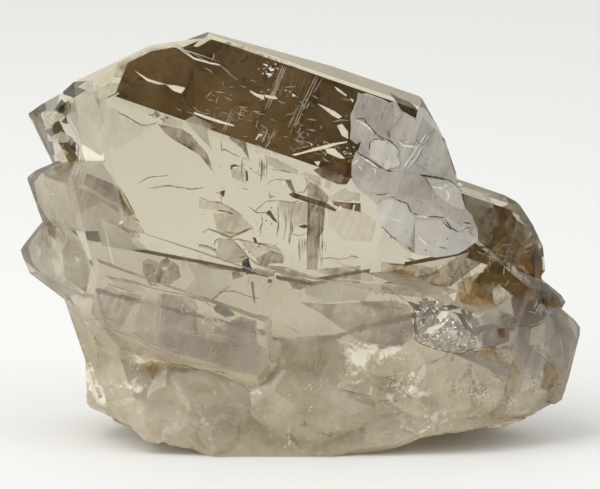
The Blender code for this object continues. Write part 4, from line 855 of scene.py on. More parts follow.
def quartz(settings):
    """Smoky quartz: a hard, clear silicate, glassy on its grown faces. The base is broken and milky,
    the brown smoke lies along the top, and the etched plate at the right has a satin sheen."""
    material = new_material("smoky_quartz")
    tree = material.node_tree
    mm, grown = growth_axes(tree)
    axes = add_node(tree, "SeparateXYZ", None, {0: mm})
    satin, smoke, milk_face, frost_and_glare, pale_satin = [
        add_node(tree, "Attribute", {"attribute_name": name}).outputs["Fac"]
        for name in ("satin", "smoke", "milk", "frost_and_glare", "pale_satin")]

    # Blotches a few millimetres across, in the smoke and on the satin plate
    patches = add_node(tree, "TexNoise", {"Scale": 0.3, "Detail": 7.0, "Roughness": 0.62}, {"Vector": mm})
    patchy = add_node(tree, "MapRange", {"From Min": 0.36, "From Max": 0.64}, {
        "Value": patches.outputs["Fac"]})
    # Milk: cloudy quartz at the foot, which reaches higher at the left and less high at the right, and
    # on the faces marked for it
    ragged = add_node(tree, "TexNoise", {"Scale": 0.12, "Detail": 4.0, "Roughness": 0.6}, {"Vector": mm})
    rise = add_node(tree, "Math", {"operation": "MULTIPLY_ADD", 1: 12.0}, {
        0: ragged.outputs["Fac"], 2: axes.outputs["Z"]})
    left = add_node(tree, "MapRange", {
        "From Min": -32.0, "From Max": -20.0, "To Min": 5.0, "To Max": 0.0}, {"Value": axes.outputs["X"]})
    right = add_node(tree, "MapRange", {
        "From Min": 10.0, "From Max": 18.0, "To Min": 0.0, "To Max": 5.0}, {"Value": axes.outputs["X"]})
    raised = add_node(tree, "Math", {"operation": "ADD"}, {0: rise, 1: right})
    lowered = add_node(tree, "Math", {"operation": "SUBTRACT"}, {0: raised, 1: left})
    foot = add_node(tree, "MapRange", {
        "From Min": 14.0, "From Max": 36.0, "To Min": 1.0, "To Max": 0.0}, {"Value": lowered})
    milk = add_node(tree, "Math", {"operation": "MAXIMUM"}, {0: foot, 1: milk_face})
    clouds = add_node(tree, "TexNoise", {"Scale": 0.11, "Detail": 6.0, "Roughness": 0.5}, {"Vector": mm})
    thick = add_node(tree, "MapRange", {
        "From Min": 0.35, "From Max": 0.68, "To Min": settings.milk_least, "To Max": settings.milk_most},
        {"Value": clouds.outputs["Fac"]})
    crackle = add_node(tree, "TexNoise", {
        "Scale": 0.8, "Detail": 8.0, "Roughness": 0.66, "Distortion": 0.5}, {"Vector": mm})
    marbled = add_node(tree, "MapRange", {
        "From Min": 0.35, "From Max": 0.65, "To Min": 0.92, "To Max": 1.08}, {
        "Value": crackle.outputs["Fac"]})
    cloudy = add_node(tree, "Math", {"operation": "MULTIPLY"}, {0: thick, 1: marbled})
    milky = add_node(tree, "Math", {"operation": "MULTIPLY"}, {0: milk, 1: cloudy})

    # Growth lines run square to c: fine streaks about 0.4 mm apart
    stretched = add_node(tree, "Mapping", {"Scale": (1.9, 0.5, 0.09)}, {"Vector": grown})
    streaks = add_node(tree, "TexNoise", {"Scale": 1.0, "Detail": 4.0, "Roughness": 0.6}, {
        "Vector": stretched})
    lines = add_node(tree, "MapRange", {"From Min": 0.34, "From Max": 0.7}, {
        "Value": streaks.outputs["Fac"]})

    uneven = add_node(tree, "Mix", {"data_type": "FLOAT"}, {0: patchy, 2: patchy, 3: lines})
    smoky = add_node(tree, "MapRange", {"To Min": 1.0, "To Max": 0.5}, {"Value": uneven})
    smoked = add_node(tree, "Math", {"operation": "MULTIPLY"}, {0: smoke, 1: smoky})

    # How much of the light each kind of quartz stops and scatters
    sheen = add_node(tree, "MapRange", {"To Min": 0.72, "To Max": 0.88}, {"Value": uneven})
    etched = add_node(tree, "Math", {"operation": "MULTIPLY_ADD"}, {0: satin, 1: sheen, 2: milky})
    stopped = add_node(tree, "Math", {"operation": "MULTIPLY_ADD", 1: settings.smoke_share}, {
        0: smoked, 2: etched})
    # Fresh fracture, crazed with fine cracks, which turns most of the light back white, and painted glare on
    # the base, whitened by one mask
    ragged_frost_and_glare = add_node(tree, "Math", {"operation": "MULTIPLY_ADD", 1: 4.0}, {
        0: crackle.outputs["Fac"], 2: frost_and_glare})
    frost_glare_share = add_node(tree, "MapRange", {"From Min": 2.5, "From Max": 3.4}, {"Value": ragged_frost_and_glare})
    in_all = add_node(tree, "Math", {"operation": "MULTIPLY_ADD", 1: 0.4}, {0: frost_glare_share, 2: stopped})
    passed = add_node(tree, "Math", {"operation": "SUBTRACT", 0: 1.0, "use_clamp": True}, {1: in_all})

    # The colour of each kind, and then of the whole: milk, smoke, satin, and the white of fresh fracture and
    # painted glare
    milk_colour = add_node(tree, "Mix", {
        "data_type": "RGBA", 6: linear(settings.milk_dark), 7: linear(settings.milk_pale)}, {
        0: clouds.outputs["Fac"]})
    tinge = add_node(tree, "MapRange", {"From Max": 0.8, "To Min": 0.05}, {"Value": milk})
    body = add_node(tree, "Mix", {"data_type": "RGBA", 6: (1, 1, 1, 1)}, {
        0: tinge, 7: milk_colour.outputs[2]})
    brown = add_node(tree, "Mix", {
        "data_type": "RGBA", 6: linear(settings.brown), 7: linear(settings.pale_brown)}, {
        0: uneven})
    browned = add_node(tree, "Mix", {"data_type": "RGBA"}, {
        0: smoke, 6: body.outputs[2], 7: brown.outputs[2]})
    satin_tone = add_node(tree, "Math", {"operation": "MULTIPLY_ADD", 1: 0.35}, {0: uneven, 2: pale_satin})
    silver = add_node(tree, "Mix", {
        "data_type": "RGBA", 6: linear(settings.satin_dark), 7: linear(settings.satin_pale)}, {
        0: satin_tone})
    silvered = add_node(tree, "Mix", {"data_type": "RGBA"}, {
        0: satin, 6: browned.outputs[2], 7: silver.outputs[2]})
    # Whitened by fresh fracture and by painted glare
    whitened = add_node(tree, "Mix", {"data_type": "RGBA", 7: linear(settings.frost_and_glare)}, {
        0: frost_glare_share, 6: silvered.outputs[2]})

    # Grown faces are glassy; milky, smoky and etched ones are duller, one more than the other
    rough_milk = add_node(tree, "Math", {"operation": "MULTIPLY_ADD", 1: 0.24, 2: 0.012}, {0: milky})
    rough_smoke = add_node(tree, "Math", {"operation": "MULTIPLY_ADD", 1: 0.12}, {0: smoke, 2: rough_milk})
    rough = add_node(tree, "Math", {"operation": "MULTIPLY_ADD", 1: 0.34}, {0: satin, 2: rough_smoke})

    # Relief under a tenth of a millimetre: grain on the worn and etched faces, and the growth lines
    grain = add_node(tree, "TexNoise", {"Scale": 0.9, "Detail": 4.0, "Roughness": 0.55}, {"Vector": mm})
    worn = add_node(tree, "Math", {"operation": "MAXIMUM"}, {0: milk, 1: satin})
    grain_bump = add_node(tree, "Bump", {"Distance": 0.00007}, {
        "Strength": worn, "Height": grain.outputs["Fac"]})
    lined = add_node(tree, "Math", {"operation": "MULTIPLY_ADD", 1: 0.5, 2: 0.03}, {0: smoke})
    line_bump = add_node(tree, "Bump", {"Distance": 0.00005}, {
        "Strength": lined, "Height": streaks.outputs["Fac"], "Normal": grain_bump})

    shader = add_node(tree, "BsdfPrincipled", {"IOR": QUARTZ_IOR}, {
        "Base Color": whitened.outputs[2], "Roughness": rough, "Normal": line_bump,
        "Transmission Weight": passed})
    volume = add_node(tree, "VolumeAbsorption", {
        "Color": linear(settings.smoke_colour), "Density": settings.smoke_density})
    add_node(tree, "OutputMaterial", None, {"Surface": shader, "Volume": volume})
    return material


def veil(name, dark, pale, least, most, grain):
    """A thin film inside or on the quartz that stops part of the light, in blotches a grain (mm) across and
    along the growth lines.
    It serves for healed cracks and stained facets, and also for painted light: pale films as painted glare,
    glints and highlights, dark ones as painted shade."""
    material = new_material(name)
    tree = material.node_tree
    mm, grown = growth_axes(tree)
    blotches = add_node(tree, "TexNoise", {"Scale": 1 / grain, "Detail": 5.0, "Roughness": 0.6}, {
        "Vector": mm})
    stretched = add_node(tree, "Mapping", {"Scale": (1.6, 0.5, 0.12)}, {"Vector": grown})
    streaks = add_node(tree, "TexNoise", {"Scale": 1.0, "Detail": 3.0, "Roughness": 0.6}, {
        "Vector": stretched})
    both = add_node(tree, "Mix", {"data_type": "FLOAT", 0: 0.4}, {
        2: blotches.outputs["Fac"], 3: streaks.outputs["Fac"]})
    spread = add_node(tree, "MapRange", {"From Min": 0.4, "From Max": 0.6}, {"Value": both})
    colour = add_node(tree, "Mix", {"data_type": "RGBA", 6: linear(dark), 7: linear(pale)}, {0: spread})
    share = add_node(tree, "MapRange", {"To Min": most, "To Max": least}, {"Value": spread})
    fade = add_node(tree, "Attribute", {"attribute_name": "fade"})
    alpha = add_node(tree, "Math", {"operation": "MULTIPLY"}, {0: share, 1: fade.outputs["Fac"]})
    shader = add_node(tree, "BsdfPrincipled", {"Roughness": 0.4, "Specular IOR Level": 0.2}, {
        "Base Color": colour.outputs[2], "Alpha": alpha})
    add_node(tree, "OutputMaterial", None, {"Surface": shader})
    return material


def silver_fracture():
    """An air-filled fracture: it turns all light back, so it looks like crumpled silver foil."""
    material = new_material("air_filled_fracture")
    tree = material.node_tree
    mm, _ = growth_axes(tree)
    speck = add_node(tree, "TexNoise", {"Scale": 0.9, "Detail": 5.0, "Roughness": 0.7}, {"Vector": mm})
    spread = add_node(tree, "MapRange", {"From Min": 0.36, "From Max": 0.56}, {
        "Value": speck.outputs["Fac"]})
    colour = add_node(tree, "Mix", {
        "data_type": "RGBA", 6: linear("#8a826d"), 7: linear("#ffffff")}, {0: spread})
    alpha = add_node(tree, "MapRange", {"To Min": 0.45, "To Max": 1.0}, {"Value": spread})
    shader = add_node(tree, "BsdfPrincipled", {"Metallic": 1.0, "Roughness": 0.15}, {
        "Base Color": colour.outputs[2], "Alpha": alpha})
    add_node(tree, "OutputMaterial", None, {"Surface": shader})
    return material


def across_c(turn):
    """Outward normal of the prism face turned this many degrees about the c axis from the front."""
    turn = math.radians(turn)
    return math.sin(turn) * UP_PLATE + math.cos(turn) * Vector((0, -1, 0))


def roughened(outline, step, wander, seed, closed=True):
    """An outline with corners added every step, each moved a little, so that it looks broken."""
    dice = random.Random(seed)
    points = []
    ends = outline[1:] + outline[:1] if closed else outline[1:]
    for a, b in zip(outline, ends):
        a, b = Vector(a), Vector(b)
        side = (b - a).orthogonal().normalized()
        parts = max(1, round((b - a).length / step))
        for i in range(parts):
            along = (i + dice.uniform(-0.25, 0.25)) / parts if i else 0
            points.append(a.lerp(b, along) + side * dice.uniform(-wander, wander))
    return points if closed else points + [Vector(outline[-1])]


def inside(outline, x, v):
    """True where (x, v) lies inside an outline."""
    within = False
    for a, b in zip(outline, outline[1:] + outline[:1]):
        if (a[1] > v) != (b[1] > v) and x < a[0] + (v - a[1]) / (b[1] - a[1]) * (b[0] - a[0]):
            within = not within
    return within


def depth_inside(outline, spot, rim=0.8):
    """How far inside an outline a spot lies, as a share of the rim, from 0 to 1."""
    if not inside(outline, spot.x, spot.y):
        return 0
    edges = zip(outline, outline[1:] + outline[:1])
    nearest = min((geometry.intersect_point_line(spot, a, b)[0] - spot).length for a, b in edges)
    return min(nearest / rim, 1)


def new_piece(name, bm, material):
    """Turns a mesh in the plate's frame into a piece that stands and rides with the group."""
    bm.transform(STAND_UP @ Matrix.Scale(MM, 4))
    mesh = bpy.data.meshes.new(name)
    bm.to_mesh(mesh)
    bm.free()
    mesh.materials.append(material)
    piece = bpy.data.objects.new(name, mesh)
    bpy.context.scene.collection.objects.link(piece)
    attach(piece, BODY)
    return piece


def prism(name, outline, front, back):
    """A closed block over an (x, v) outline, from one depth to another."""
    bm = bmesh.new()
    rings = [[bm.verts.new(Vector((x, w, v)) * MM) for x, v in outline] for w in (front, back)]
    for ring in rings:
        bm.faces.new(ring)
    for i in range(len(outline)):
        j = (i + 1) % len(outline)
        bm.faces.new((rings[0][i], rings[0][j], rings[1][j], rings[1][i]))
    bmesh.ops.recalc_face_normals(bm, faces=bm.faces)
    mesh = bpy.data.meshes.new(name)
    bm.to_mesh(mesh)
    bm.free()
    block = bpy.data.objects.new(name, mesh)
    bpy.context.scene.collection.objects.link(block)
    return block


def boolean(body, other, operation):
    """Applies one exact Boolean to a body and removes the other object."""
    step = body.modifiers.new(operation.lower(), "BOOLEAN")
    step.operation = operation
    step.solver = "EXACT"
    step.object = other
    bpy.context.view_layer.update()
    mesh = bpy.data.meshes.new_from_object(body.evaluated_get(bpy.context.evaluated_depsgraph_get()))
    body.modifiers.clear()
    body.data = mesh
    bpy.data.objects.remove(other)


def raise_plate(crystal, name, outline, height, reach=(-6, 9)):
    """Lifts the surface inside an outline by a height, as a growth layer with its own edge."""
    layer = crystal.copy()
    layer.data = crystal.data.copy()
    bpy.context.scene.collection.objects.link(layer)
    layer.data.transform(Matrix.Translation((0, -height * MM, 0)))
    boolean(layer, prism(name, outline, *reach), "INTERSECT")
    boolean(crystal, layer, "UNION")


def broken(p, size, seed):
    """Height of a hackly fracture at p: each cell of the given size is its own tilted flat."""
    shifted = (p + Vector((seed, seed, seed))) / size
    centre = noise.voronoi(shifted)[1][0]
    tilt = noise.cell_vector(centre * 7.31 + Vector((seed, 0, 0))) - Vector((0.5, 0.5, 0.5))
    return tilt.dot(shifted - centre) * 2


def merge_flats(bm):
    """Joins doubled corners, and merges faces that lie in one plane."""
    bmesh.ops.remove_doubles(bm, verts=bm.verts, dist=1e-6)
    bmesh.ops.dissolve_limit(bm, angle_limit=0.002, verts=bm.verts, edges=bm.edges)


def refine(bm, size, wanted):
    """Splits the edges over a size, in metres, where wanted(middle) holds, until none is left."""
    for _ in range(9):
        bmesh.ops.triangulate(bm, faces=[f for f in bm.faces if len(f.verts) > 3])
        long = [e for e in bm.edges
                if e.calc_length() > size and wanted((e.verts[0].co + e.verts[1].co) / 2)]
        if not long:
            break
        bmesh.ops.subdivide_edges(bm, edges=long, cuts=1)
    bmesh.ops.triangulate(bm, faces=[f for f in bm.faces if len(f.verts) > 3])


class QuartzSettings(bpy.types.PropertyGroup):
    """Colours and shares of the quartz, the mesh size of its fracture, and the camera's distance"""
    smoke_colour: bpy.props.StringProperty(
        name="Smoke colour", description="Colour that the clear quartz lets through, as sRGB hex",
        default="#e2dabe")
    smoke_density: bpy.props.FloatProperty(
        name="Smoke density", description="Absorption of the clear quartz, per metre", default=45.0, min=0.0)
    brown: bpy.props.StringProperty(
        name="Brown", description="Brown of the smokiest faces, as sRGB hex", default="#6a491b")
    pale_brown: bpy.props.StringProperty(
        name="Pale brown", description="Brown along the growth lines, as sRGB hex", default="#a9834a")
    smoke_share: bpy.props.FloatProperty(
        name="Smoke share", description="How much the brown faces stop", default=0.4, min=0.0, max=1.0)
    milk_pale: bpy.props.StringProperty(
        name="Pale milk", description="Palest colour of the milky base, as sRGB hex", default="#f3e9d2")
    milk_dark: bpy.props.StringProperty(
        name="Dark milk", description="Darkest colour of the milky base, as sRGB hex", default="#a8987a")
    milk_least: bpy.props.FloatProperty(
        name="Least milk", description="Least that the milky base scatters", default=0.38, min=0.0, max=1.0)
    milk_most: bpy.props.FloatProperty(
        name="Most milk", description="Most that the milky base scatters", default=0.56, min=0.0, max=1.0)
    satin_pale: bpy.props.StringProperty(
        name="Pale satin", description="Palest colour of the etched plate, as sRGB hex", default="#dfdad0")
    satin_dark: bpy.props.StringProperty(
        name="Dark satin", description="Darkest colour of the etched plate, as sRGB hex", default="#938b80")
    # White of fresh fracture, also used as painted glare on the base
    frost_and_glare: bpy.props.StringProperty(
        name="Frost", description="Colour of the fresh fractures, as sRGB hex", default="#f0eadb")
    fracture_grain: bpy.props.FloatProperty(
        name="Fracture grain", description="Mesh size on the broken base", default=0.0008, unit="LENGTH")
    camera_distance: bpy.props.FloatProperty(
        name="Camera distance", description="From the camera to the front of the group",
        default=VIEW_DISTANCE * MM, unit="LENGTH")


def fracture_height(p):
    """How far the broken base stands out at p: large shell-shaped flats, calmer at the front and more
    hackly at the right, and a ribbed chip."""
    front = p.y < BASE_FRONT
    calm = 0.5 if front else 1.0
    hackly = 0.25 + 0.35 * min(max(p.x / 8, 0), 1)
    height = calm * (0.8 * broken(p, SHELLS, 3) + hackly * broken(p, HACKLES, 11) + 0.5 * noise.noise(p / 6))
    height += 0.25 * hackly * broken(p, SPLINTERS, 23)
    if front:
        from_chip = (Vector((p.x, p.z)) - CHIP).length
        if from_chip < CHIP_RADIUS:
            bowl = 1 - (from_chip / CHIP_RADIUS) ** 2
            ribs = RIB_HEIGHT * math.sin(from_chip * RIB_RATE)
            height = height * (1 - bowl) - CHIP_DEPTH * bowl + ribs
    return height


def milkiness(normal, middle, top_back):
    """How milky the quartz is behind a face, from where its middle lies and which way it turns."""
    turned_back = normal.dot(top_back) > 0.9
    tread = -0.75 < normal.y < -0.2 and normal.z > 0.4
    if tread and middle.y < 6 and 12 < middle.z < 35 and -27 < middle.x < 22:
        return 0.7  # steps of the front, over the base
    if turned_back and middle.y > 12 and middle.z < 32:
        return 1.7  # tops of the low growth plates on the back
    if middle.y > 15 and middle.z < 20:
        return 0.4 if normal.y > 0.9 else 1  # back of the foot
    if middle.x < -14 and middle.y > 4 and middle.z < 30:
        return 1.3  # left foot
    if turned_back and middle.x < -24:
        return 1.5  # back of the left tips
    if middle.x < -27 and middle.z < 47:
        return 0.25  # the left tips themselves
    return 0


class QUARTZ_OT_crystal(bpy.types.Operator):
    """Builds the quartz group over the solid: raised satin plate, and a broken, milky base"""
    bl_idname = "quartz.crystal"
    bl_label = "Crystal Group"

    def execute(self, context):
        settings = context.scene.quartz
        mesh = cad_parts[NODE].data.copy()
        mesh.materials.clear()
        bm = bmesh.new()
        bm.from_mesh(mesh)
        bm.transform(LAY_DOWN)
        merge_flats(bm)
        bm.to_mesh(mesh)
        bm.free()
        crystal = bpy.data.objects.new("quartz_group", mesh)
        context.scene.collection.objects.link(crystal)

        raise_plate(crystal, "satin_whole", roughened(SATIN, 1.3, 0.12, 1), SATIN_HEIGHT)
        raise_plate(crystal, "satin_upper", roughened(SATIN_UPPER, 1.1, 0.2, 2), SATIN_UPPER_HEIGHT)
        layers = [(tone, roughened(outline, 0.6, 0.12, tone)) for tone, outline in SATIN_LAYERS.values()]
        for name, (_, outline) in zip(SATIN_LAYERS, layers):
            raise_plate(crystal, name, outline, SATIN_LAYER_HEIGHT)

        bm = bmesh.new()
        bm.from_mesh(crystal.data)
        merge_flats(bm)
        milk = bm.faces.layers.float.new("milk")
        satin = bm.faces.layers.float.new("satin")
        pale_satin = bm.faces.layers.float.new("pale_satin")
        smoke = bm.faces.layers.float.new("smoke")
        frost_and_glare = bm.verts.layers.float.new("frost_and_glare")
        top_back = across_c(120)
        for face in bm.faces:
            face[milk] = milkiness(face.normal, face.calc_center_median() / MM, top_back)

        def near_base(middle):
            """True on the broken base, and on the patches of fresh fracture and painted glare over it."""
            spot = middle.xz / MM
            if middle.z < (BROKEN_TOP + BROKEN_WANDER * noise.noise(middle * 90)) * MM:
                return True
            return middle.y < 6 * MM and any(inside(patch, *spot) for patch in (CHIP_TOP, *FROST_AND_GLARE_PATCHES.values()))

        refine(bm, settings.fracture_grain, near_base)
        bm.normal_update()
        moved = []
        for vert in bm.verts:
            p = vert.co / MM
            over_floor = (STAND_UP @ vert.co).z / MM
            fade = (min(max((FADE_TOP - p.z) / FADE_HEIGHT, 0), 1)
                    * min(max((over_floor - FOOT_TOP) / FOOT_HEIGHT, 0), 1))
            if fade > 0:
                moved.append((vert, vert.co + vert.normal * (fracture_height(p) * fade * MM)))
        for vert, place in moved:
            vert.co = place
        bm.normal_update()

        for face in bm.faces:
            middle = face.calc_center_median() / MM
            if face.normal.y < -0.3 and middle.y < 9 and inside(SATIN, middle.x, middle.z):
                upper = inside(SATIN_UPPER, middle.x, middle.z)
                face[satin] = 1 if upper else 0.85
                tones = [tone for tone, outline in layers if inside(outline, middle.x, middle.z)]
                face[pale_satin] = tones[-1] if tones else 0.25 if upper else 0.42
            elif face.normal.dot(top_back) > 0.97 and middle.z > 34 and middle.x > -24:
                face[smoke] = 1
            face.smooth = middle.z < SMOOTH_TOP
        for edge in bm.edges:
            edge.smooth = all(f.smooth for f in edge.link_faces) and edge.calc_face_angle(0) < CREASE
        for vert in bm.verts:
            if vert.normal.y < 0.1 and vert.co.z < 26 * MM:
                spot = vert.co.xz / MM
                vert[frost_and_glare] = max(depth_inside(patch, spot) for patch in FROST_AND_GLARE_PATCHES.values())
                vert[frost_and_glare] = max(vert[frost_and_glare], 1.7 * depth_inside(CHIP_TOP, spot))
        bm.transform(STAND_UP)
        for vert in bm.verts:
            vert.co.z = max(vert.co.z, 0)
        bm.to_mesh(crystal.data)
        bm.free()
        crystal.data.materials.clear()
        crystal.data.materials.append(quartz(settings))
        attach(crystal, BODY)
        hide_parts(NODE)
        return {"FINISHED"}


class Films:
    """Collects thin films under the surface of the quartz, each corner with its own fade."""

    def __init__(self, seed):
        self.bm = bmesh.new()
        self.fade = self.bm.verts.layers.float.new("fade")
        self.dice = random.Random(seed)
        source = bmesh.new()
        source.from_mesh(bpy.data.objects["quartz_group"].data)
        source.transform(LAY_DOWN)
        self.surface = BVHTree.FromBMesh(source)
        source.free()

    def front(self, x, v):
        """Depth of the front surface at (x, v), or None beside the quartz."""
        hit = self.surface.ray_cast(Vector((x, BEFORE, v)) * MM, Vector((0, 1, 0)))
        return hit[0].y / MM if hit[0] is not None else None

    def within(self, x, v, middle, steps=12):
        """The spot nearest to (x, v), on the way to the middle, that the quartz covers all round."""
        around = ((-0.3, 0), (0.3, 0), (0, 0.3), (0, -0.3))
        for i in range(steps):
            spot = Vector((x, v)).lerp(middle, i / steps)
            if all(self.front(spot.x + dx, spot.y + dv) is not None for dx, dv in around):
                break
        return spot

    def corner(self, x, v, depth, fade=1.0):
        """A corner that shows at (x, v), this deep under the surface there, and inside the quartz."""
        own = self.front(x, v) or 0
        far = self.surface.ray_cast(Vector((x, BEHIND, v)) * MM, Vector((0, -1, 0)))[0]
        w = own + depth
        if far is not None:
            w = max(min(w, far.y / MM - 0.3), own + min(depth, 0.2))
        shown = Vector(in_line(x, v, w)) if depth > 1.5 and own < 2 else Vector((x, v))
        vert = self.bm.verts.new((shown.x, w, shown.y))
        vert[self.fade] = fade
        return vert

    def facet(self, outline, depth, lean=0.35):
        """A flat facet that shows over its outline and leans some way into the quartz."""
        dice = self.dice
        turn = dice.uniform(0, 2 * math.pi)
        way = Vector((math.cos(turn), math.sin(turn))) * lean
        middle = sum((Vector(p[:2]) for p in outline), Vector((0, 0))) / len(outline)
        corners = []
        for p in outline:
            spot = self.within(p[0], p[1], middle)
            deeper = depth + max((spot - middle).dot(way), 0.3 - depth) if depth > 0 else depth
            corners.append(self.corner(spot.x, spot.y, deeper, p[2] if len(p) > 2 else 1.0))
        self.bm.faces.new(corners)

    def ribbon(self, points, width, depth, ends=0.35):
        """A crack along a line: a thin strip this deep under the surface, drawn out at both ends."""
        rows = []
        for i, p in enumerate(points):
            before, after = points[max(i - 1, 0)], points[min(i + 1, len(points) - 1)]
            side = (after - before).orthogonal().normalized()
            taper = min(i + ends, len(points) - 1 - i + ends, 1)
            half = side * width * taper * self.dice.uniform(0.35, 0.6)
            ground = self.front(*p)
            if ground is not None:
                row = [self.bm.verts.new((q.x, ground + depth, q.y)) for q in (p + half, p - half)]
                row[0][self.fade] = row[1][self.fade] = 1.0
                rows.append(row)
        for a, b in zip(rows, rows[1:]):
            self.bm.faces.new((a[0], b[0], b[1], a[1]))

    def flake(self, x, v, size, depth, thin=1.0, along=None):
        """A small flat flake that leans its own way; thin draws it out along a direction, in radians."""
        dice = self.dice
        ground = self.front(x, v)
        if ground is None:
            return
        turn = dice.uniform(0, math.pi) if along is None else along
        long, short = Vector((math.cos(turn), math.sin(turn))), Vector((-math.sin(turn), math.cos(turn)))
        lean = Vector((-0.5, 0.8)) * dice.uniform(0.2, 1.4)
        lean += Vector((dice.uniform(-0.4, 0.4), dice.uniform(-0.4, 0.4)))
        sides = 3 if thin == 1.0 else 4
        corners = []
        for i in range(sides):
            angle = (i + dice.uniform(-0.25, 0.25)) * 2 * math.pi / sides
            off = long * math.cos(angle) * size + short * math.sin(angle) * size * thin
            w = max(ground + depth + off.dot(lean), ground + min(depth, 0.1))
            vert = self.bm.verts.new((x + off.x, w, v + off.y))
            vert[self.fade] = 1.0
            corners.append(vert)
        self.bm.faces.new(corners)

    def finish(self, name, material):
        """Makes the collected films one piece."""
        bmesh.ops.triangulate(self.bm, faces=self.bm.faces)
        return new_piece(name, self.bm, material)


def scattered(dice, clusters):
    """Spots (x, v) scattered over clusters, denser towards each one's middle."""
    for x, v, wide, high, count in clusters:
        for _ in range(count):
            yield x + dice.gauss(0, wide * 0.55), v + dice.gauss(0, high * 0.55)


# The films of flat facets: their outlines, their depth, and their veil's name, dark and pale colours,
# least and most share of light that it stops, and grain. Iron stains a crack brown, and a healed crack
# scatters light like fine frost. Some films are painted light: the painted light facets stand in for
# light through the tips, the pale facets and surface chips hold painted glare and glints, and the dark
# facets hold painted shade around the silver fracture.
FACET_FILMS = {
    "tinted_facets": (TINTED_FACETS, 0.8, ("faint_stain", "#86601e", "#c09b4c", 0.16, 0.45, 3)),
    "tan_facets": (TAN_FACETS, 0.5, ("stained_crack_plane", "#74511c", "#b08c42", 0.22, 0.6, 2)),
    "light_brown_facets": (LIGHT_BROWN_FACETS, 0.7, ("thin_smoke", "#875c22", "#c69d5a", 0.1, 0.45, 2)),
    # Painted light: pale films that make the tips look lit through
    "clear_facets": (PAINTED_LIGHT_FACETS, 0.3, ("painted_light_film", "#f2e8ca", "#fffbea", 0.7, 0.92, 6)),
    "hazy_facets": (HAZY_FACETS, 1.1, ("hazy_crack", "#8c6d34", "#c0a868", 0.4, 0.8, 2.5)),
    # Healed cracks, and painted glare, glints and sheen
    "pale_facets": (PALE_FACETS, 0.8, ("healed_crack_and_painted_light", "#ece2c4", "#fffae8", 0.5, 0.85, 3)),
    "stained_facets": (STAINED_FACETS, 0.4, ("iron_stained_crack", "#6c4e20", "#a6864a", 0.42, 0.8, 2)),
    "brown_facets": (BROWN_FACETS, 0.3, ("brown_crack_plane", "#553716", "#936c34", 0.75, 0.95, 2)),
    # Dark crack planes, and painted shade around the silver fracture
    "dark_facets": (DARK_FACETS, 0.2, ("dark_crack_plane_and_painted_shade", "#38260f", "#63461f", 0.85, 0.97, 1.5)),
    "smoke_clouds": (MOTTLED_FACETS, 0.6, ("smoke_mottling", "#4d300f", "#bf9a62", 0.0, 0.7, 0.9)),
    # Chips on the surface, and painted glare and glints
    "surface_chips": (SURFACE_CHIPS_AND_GLARE, -0.04, ("chip_and_painted_glare", "#d6cbad", "#fffaea", 0.5, 1.0, 1.5)),
}


class QUARTZ_OT_inner_facets(bpy.types.Operator):
    """Adds the brown blades, the tan and pale facets and the mottled smoke that show inside"""
    bl_idname = "quartz.inner_facets"
    bl_label = "Inner Facets"

    def execute(self, context):
        for name, (outlines, depth, look) in FACET_FILMS.items():
            films = Films(len(name))
            for outline in outlines.values():
                films.facet(outline, depth * films.dice.uniform(0.6, 1.4))
            films.finish(name, veil(*look))
        return {"FINISHED"}


class QUARTZ_OT_cracks(bpy.types.Operator):
    """Adds the fine cracks and bright lines, the bundles of growth lines, and the satin plate's cracks and
    ridges; among them is painted light: highlights beside the cracks, along the bright lines and on the
    ridges, and shade in the dark and satin cracks
    """
    bl_idname = "quartz.cracks"
    bl_label = "Cracks"

    def execute(self, context):
        dark = veil("dark_crack_and_painted_edge_shade", "#4a3312", "#86683a", 0.5, 0.95, 1.2)
        tan = veil("thin_crack", "#86693a", "#b39766", 0.45, 0.85, 1.2)
        bright = veil("pale_crack_and_painted_highlight", "#d5c5a0", "#fff8e6", 0.3, 0.95, 1.2)
        dirt = veil("painted_crack_shade", "#332b1f", "#64584a", 0.55, 1.0, 1.2)
        worn = veil("painted_ridge_highlight", "#e9e4da", "#ffffff", 0.5, 1.0, 1.2)
        faint = veil("growth_streak", "#a98f66", "#f0e4c8", 0.1, 0.6, 1.5)
        leaning, upright = -UP_PLATE.xz, Vector((0, -1))
        for name, lines, width, depth, bundles, material in (
                # Dark cracks, and painted shade along edges
                ("dark_cracks", DARK_LINES, 0.15, -0.02, ((upright, UPRIGHT_DARK),), dark),
                ("tan_cracks", TAN_LINES, 0.2, 0.1, (), tan),
                ("bright_lines", LIGHT_LINES, 0.17, 0.3, (), bright),
                ("growth_streaks", [], 0.1, 0.3,
                 ((leaning, LEANING_BRIGHT), (upright, UPRIGHT_BRIGHT)), faint),
                # Painted highlights: short bright ribbons just beside the dark and tan cracks, as if their
                # edges caught the light
                ("crack_gleams", DARK_LINES + TAN_LINES, 0.11, 0.2, (), bright),
                # Painted shade in the satin plate's cracks
                ("satin_cracks", SATIN_CRACKS, 0.17, -0.03, (), dirt),
                # Painted highlights on the satin plate's ridges
                ("satin_ridges", SATIN_RIDGES, 0.22, -0.03, (), worn)):
            films = Films(len(name))
            dice = films.dice
            for line in lines:
                points = roughened(line, 0.7, 0.035, dice.random(), closed=False)
                if name == "crack_gleams":
                    start = dice.randrange(len(points))
                    points = [p + Vector((0.1, 0.13)) for p in points[start:start + dice.randint(2, 4)]]
                if len(points) > 1:
                    films.ribbon(points, width, depth)
            for way, rows in bundles:
                for start, end, length, count in rows:
                    for i in range(count):
                        top = Vector(start).lerp(Vector(end), (i + dice.uniform(0, 0.8)) / count)
                        down = way * length * dice.uniform(0.35, 1.0)
                        points = [top, top + down * 0.5, top + down]
                        films.ribbon(points, dice.uniform(0.06, 0.14), 0.3, ends=0.25)
            films.finish(name, material)
        return {"FINISHED"}


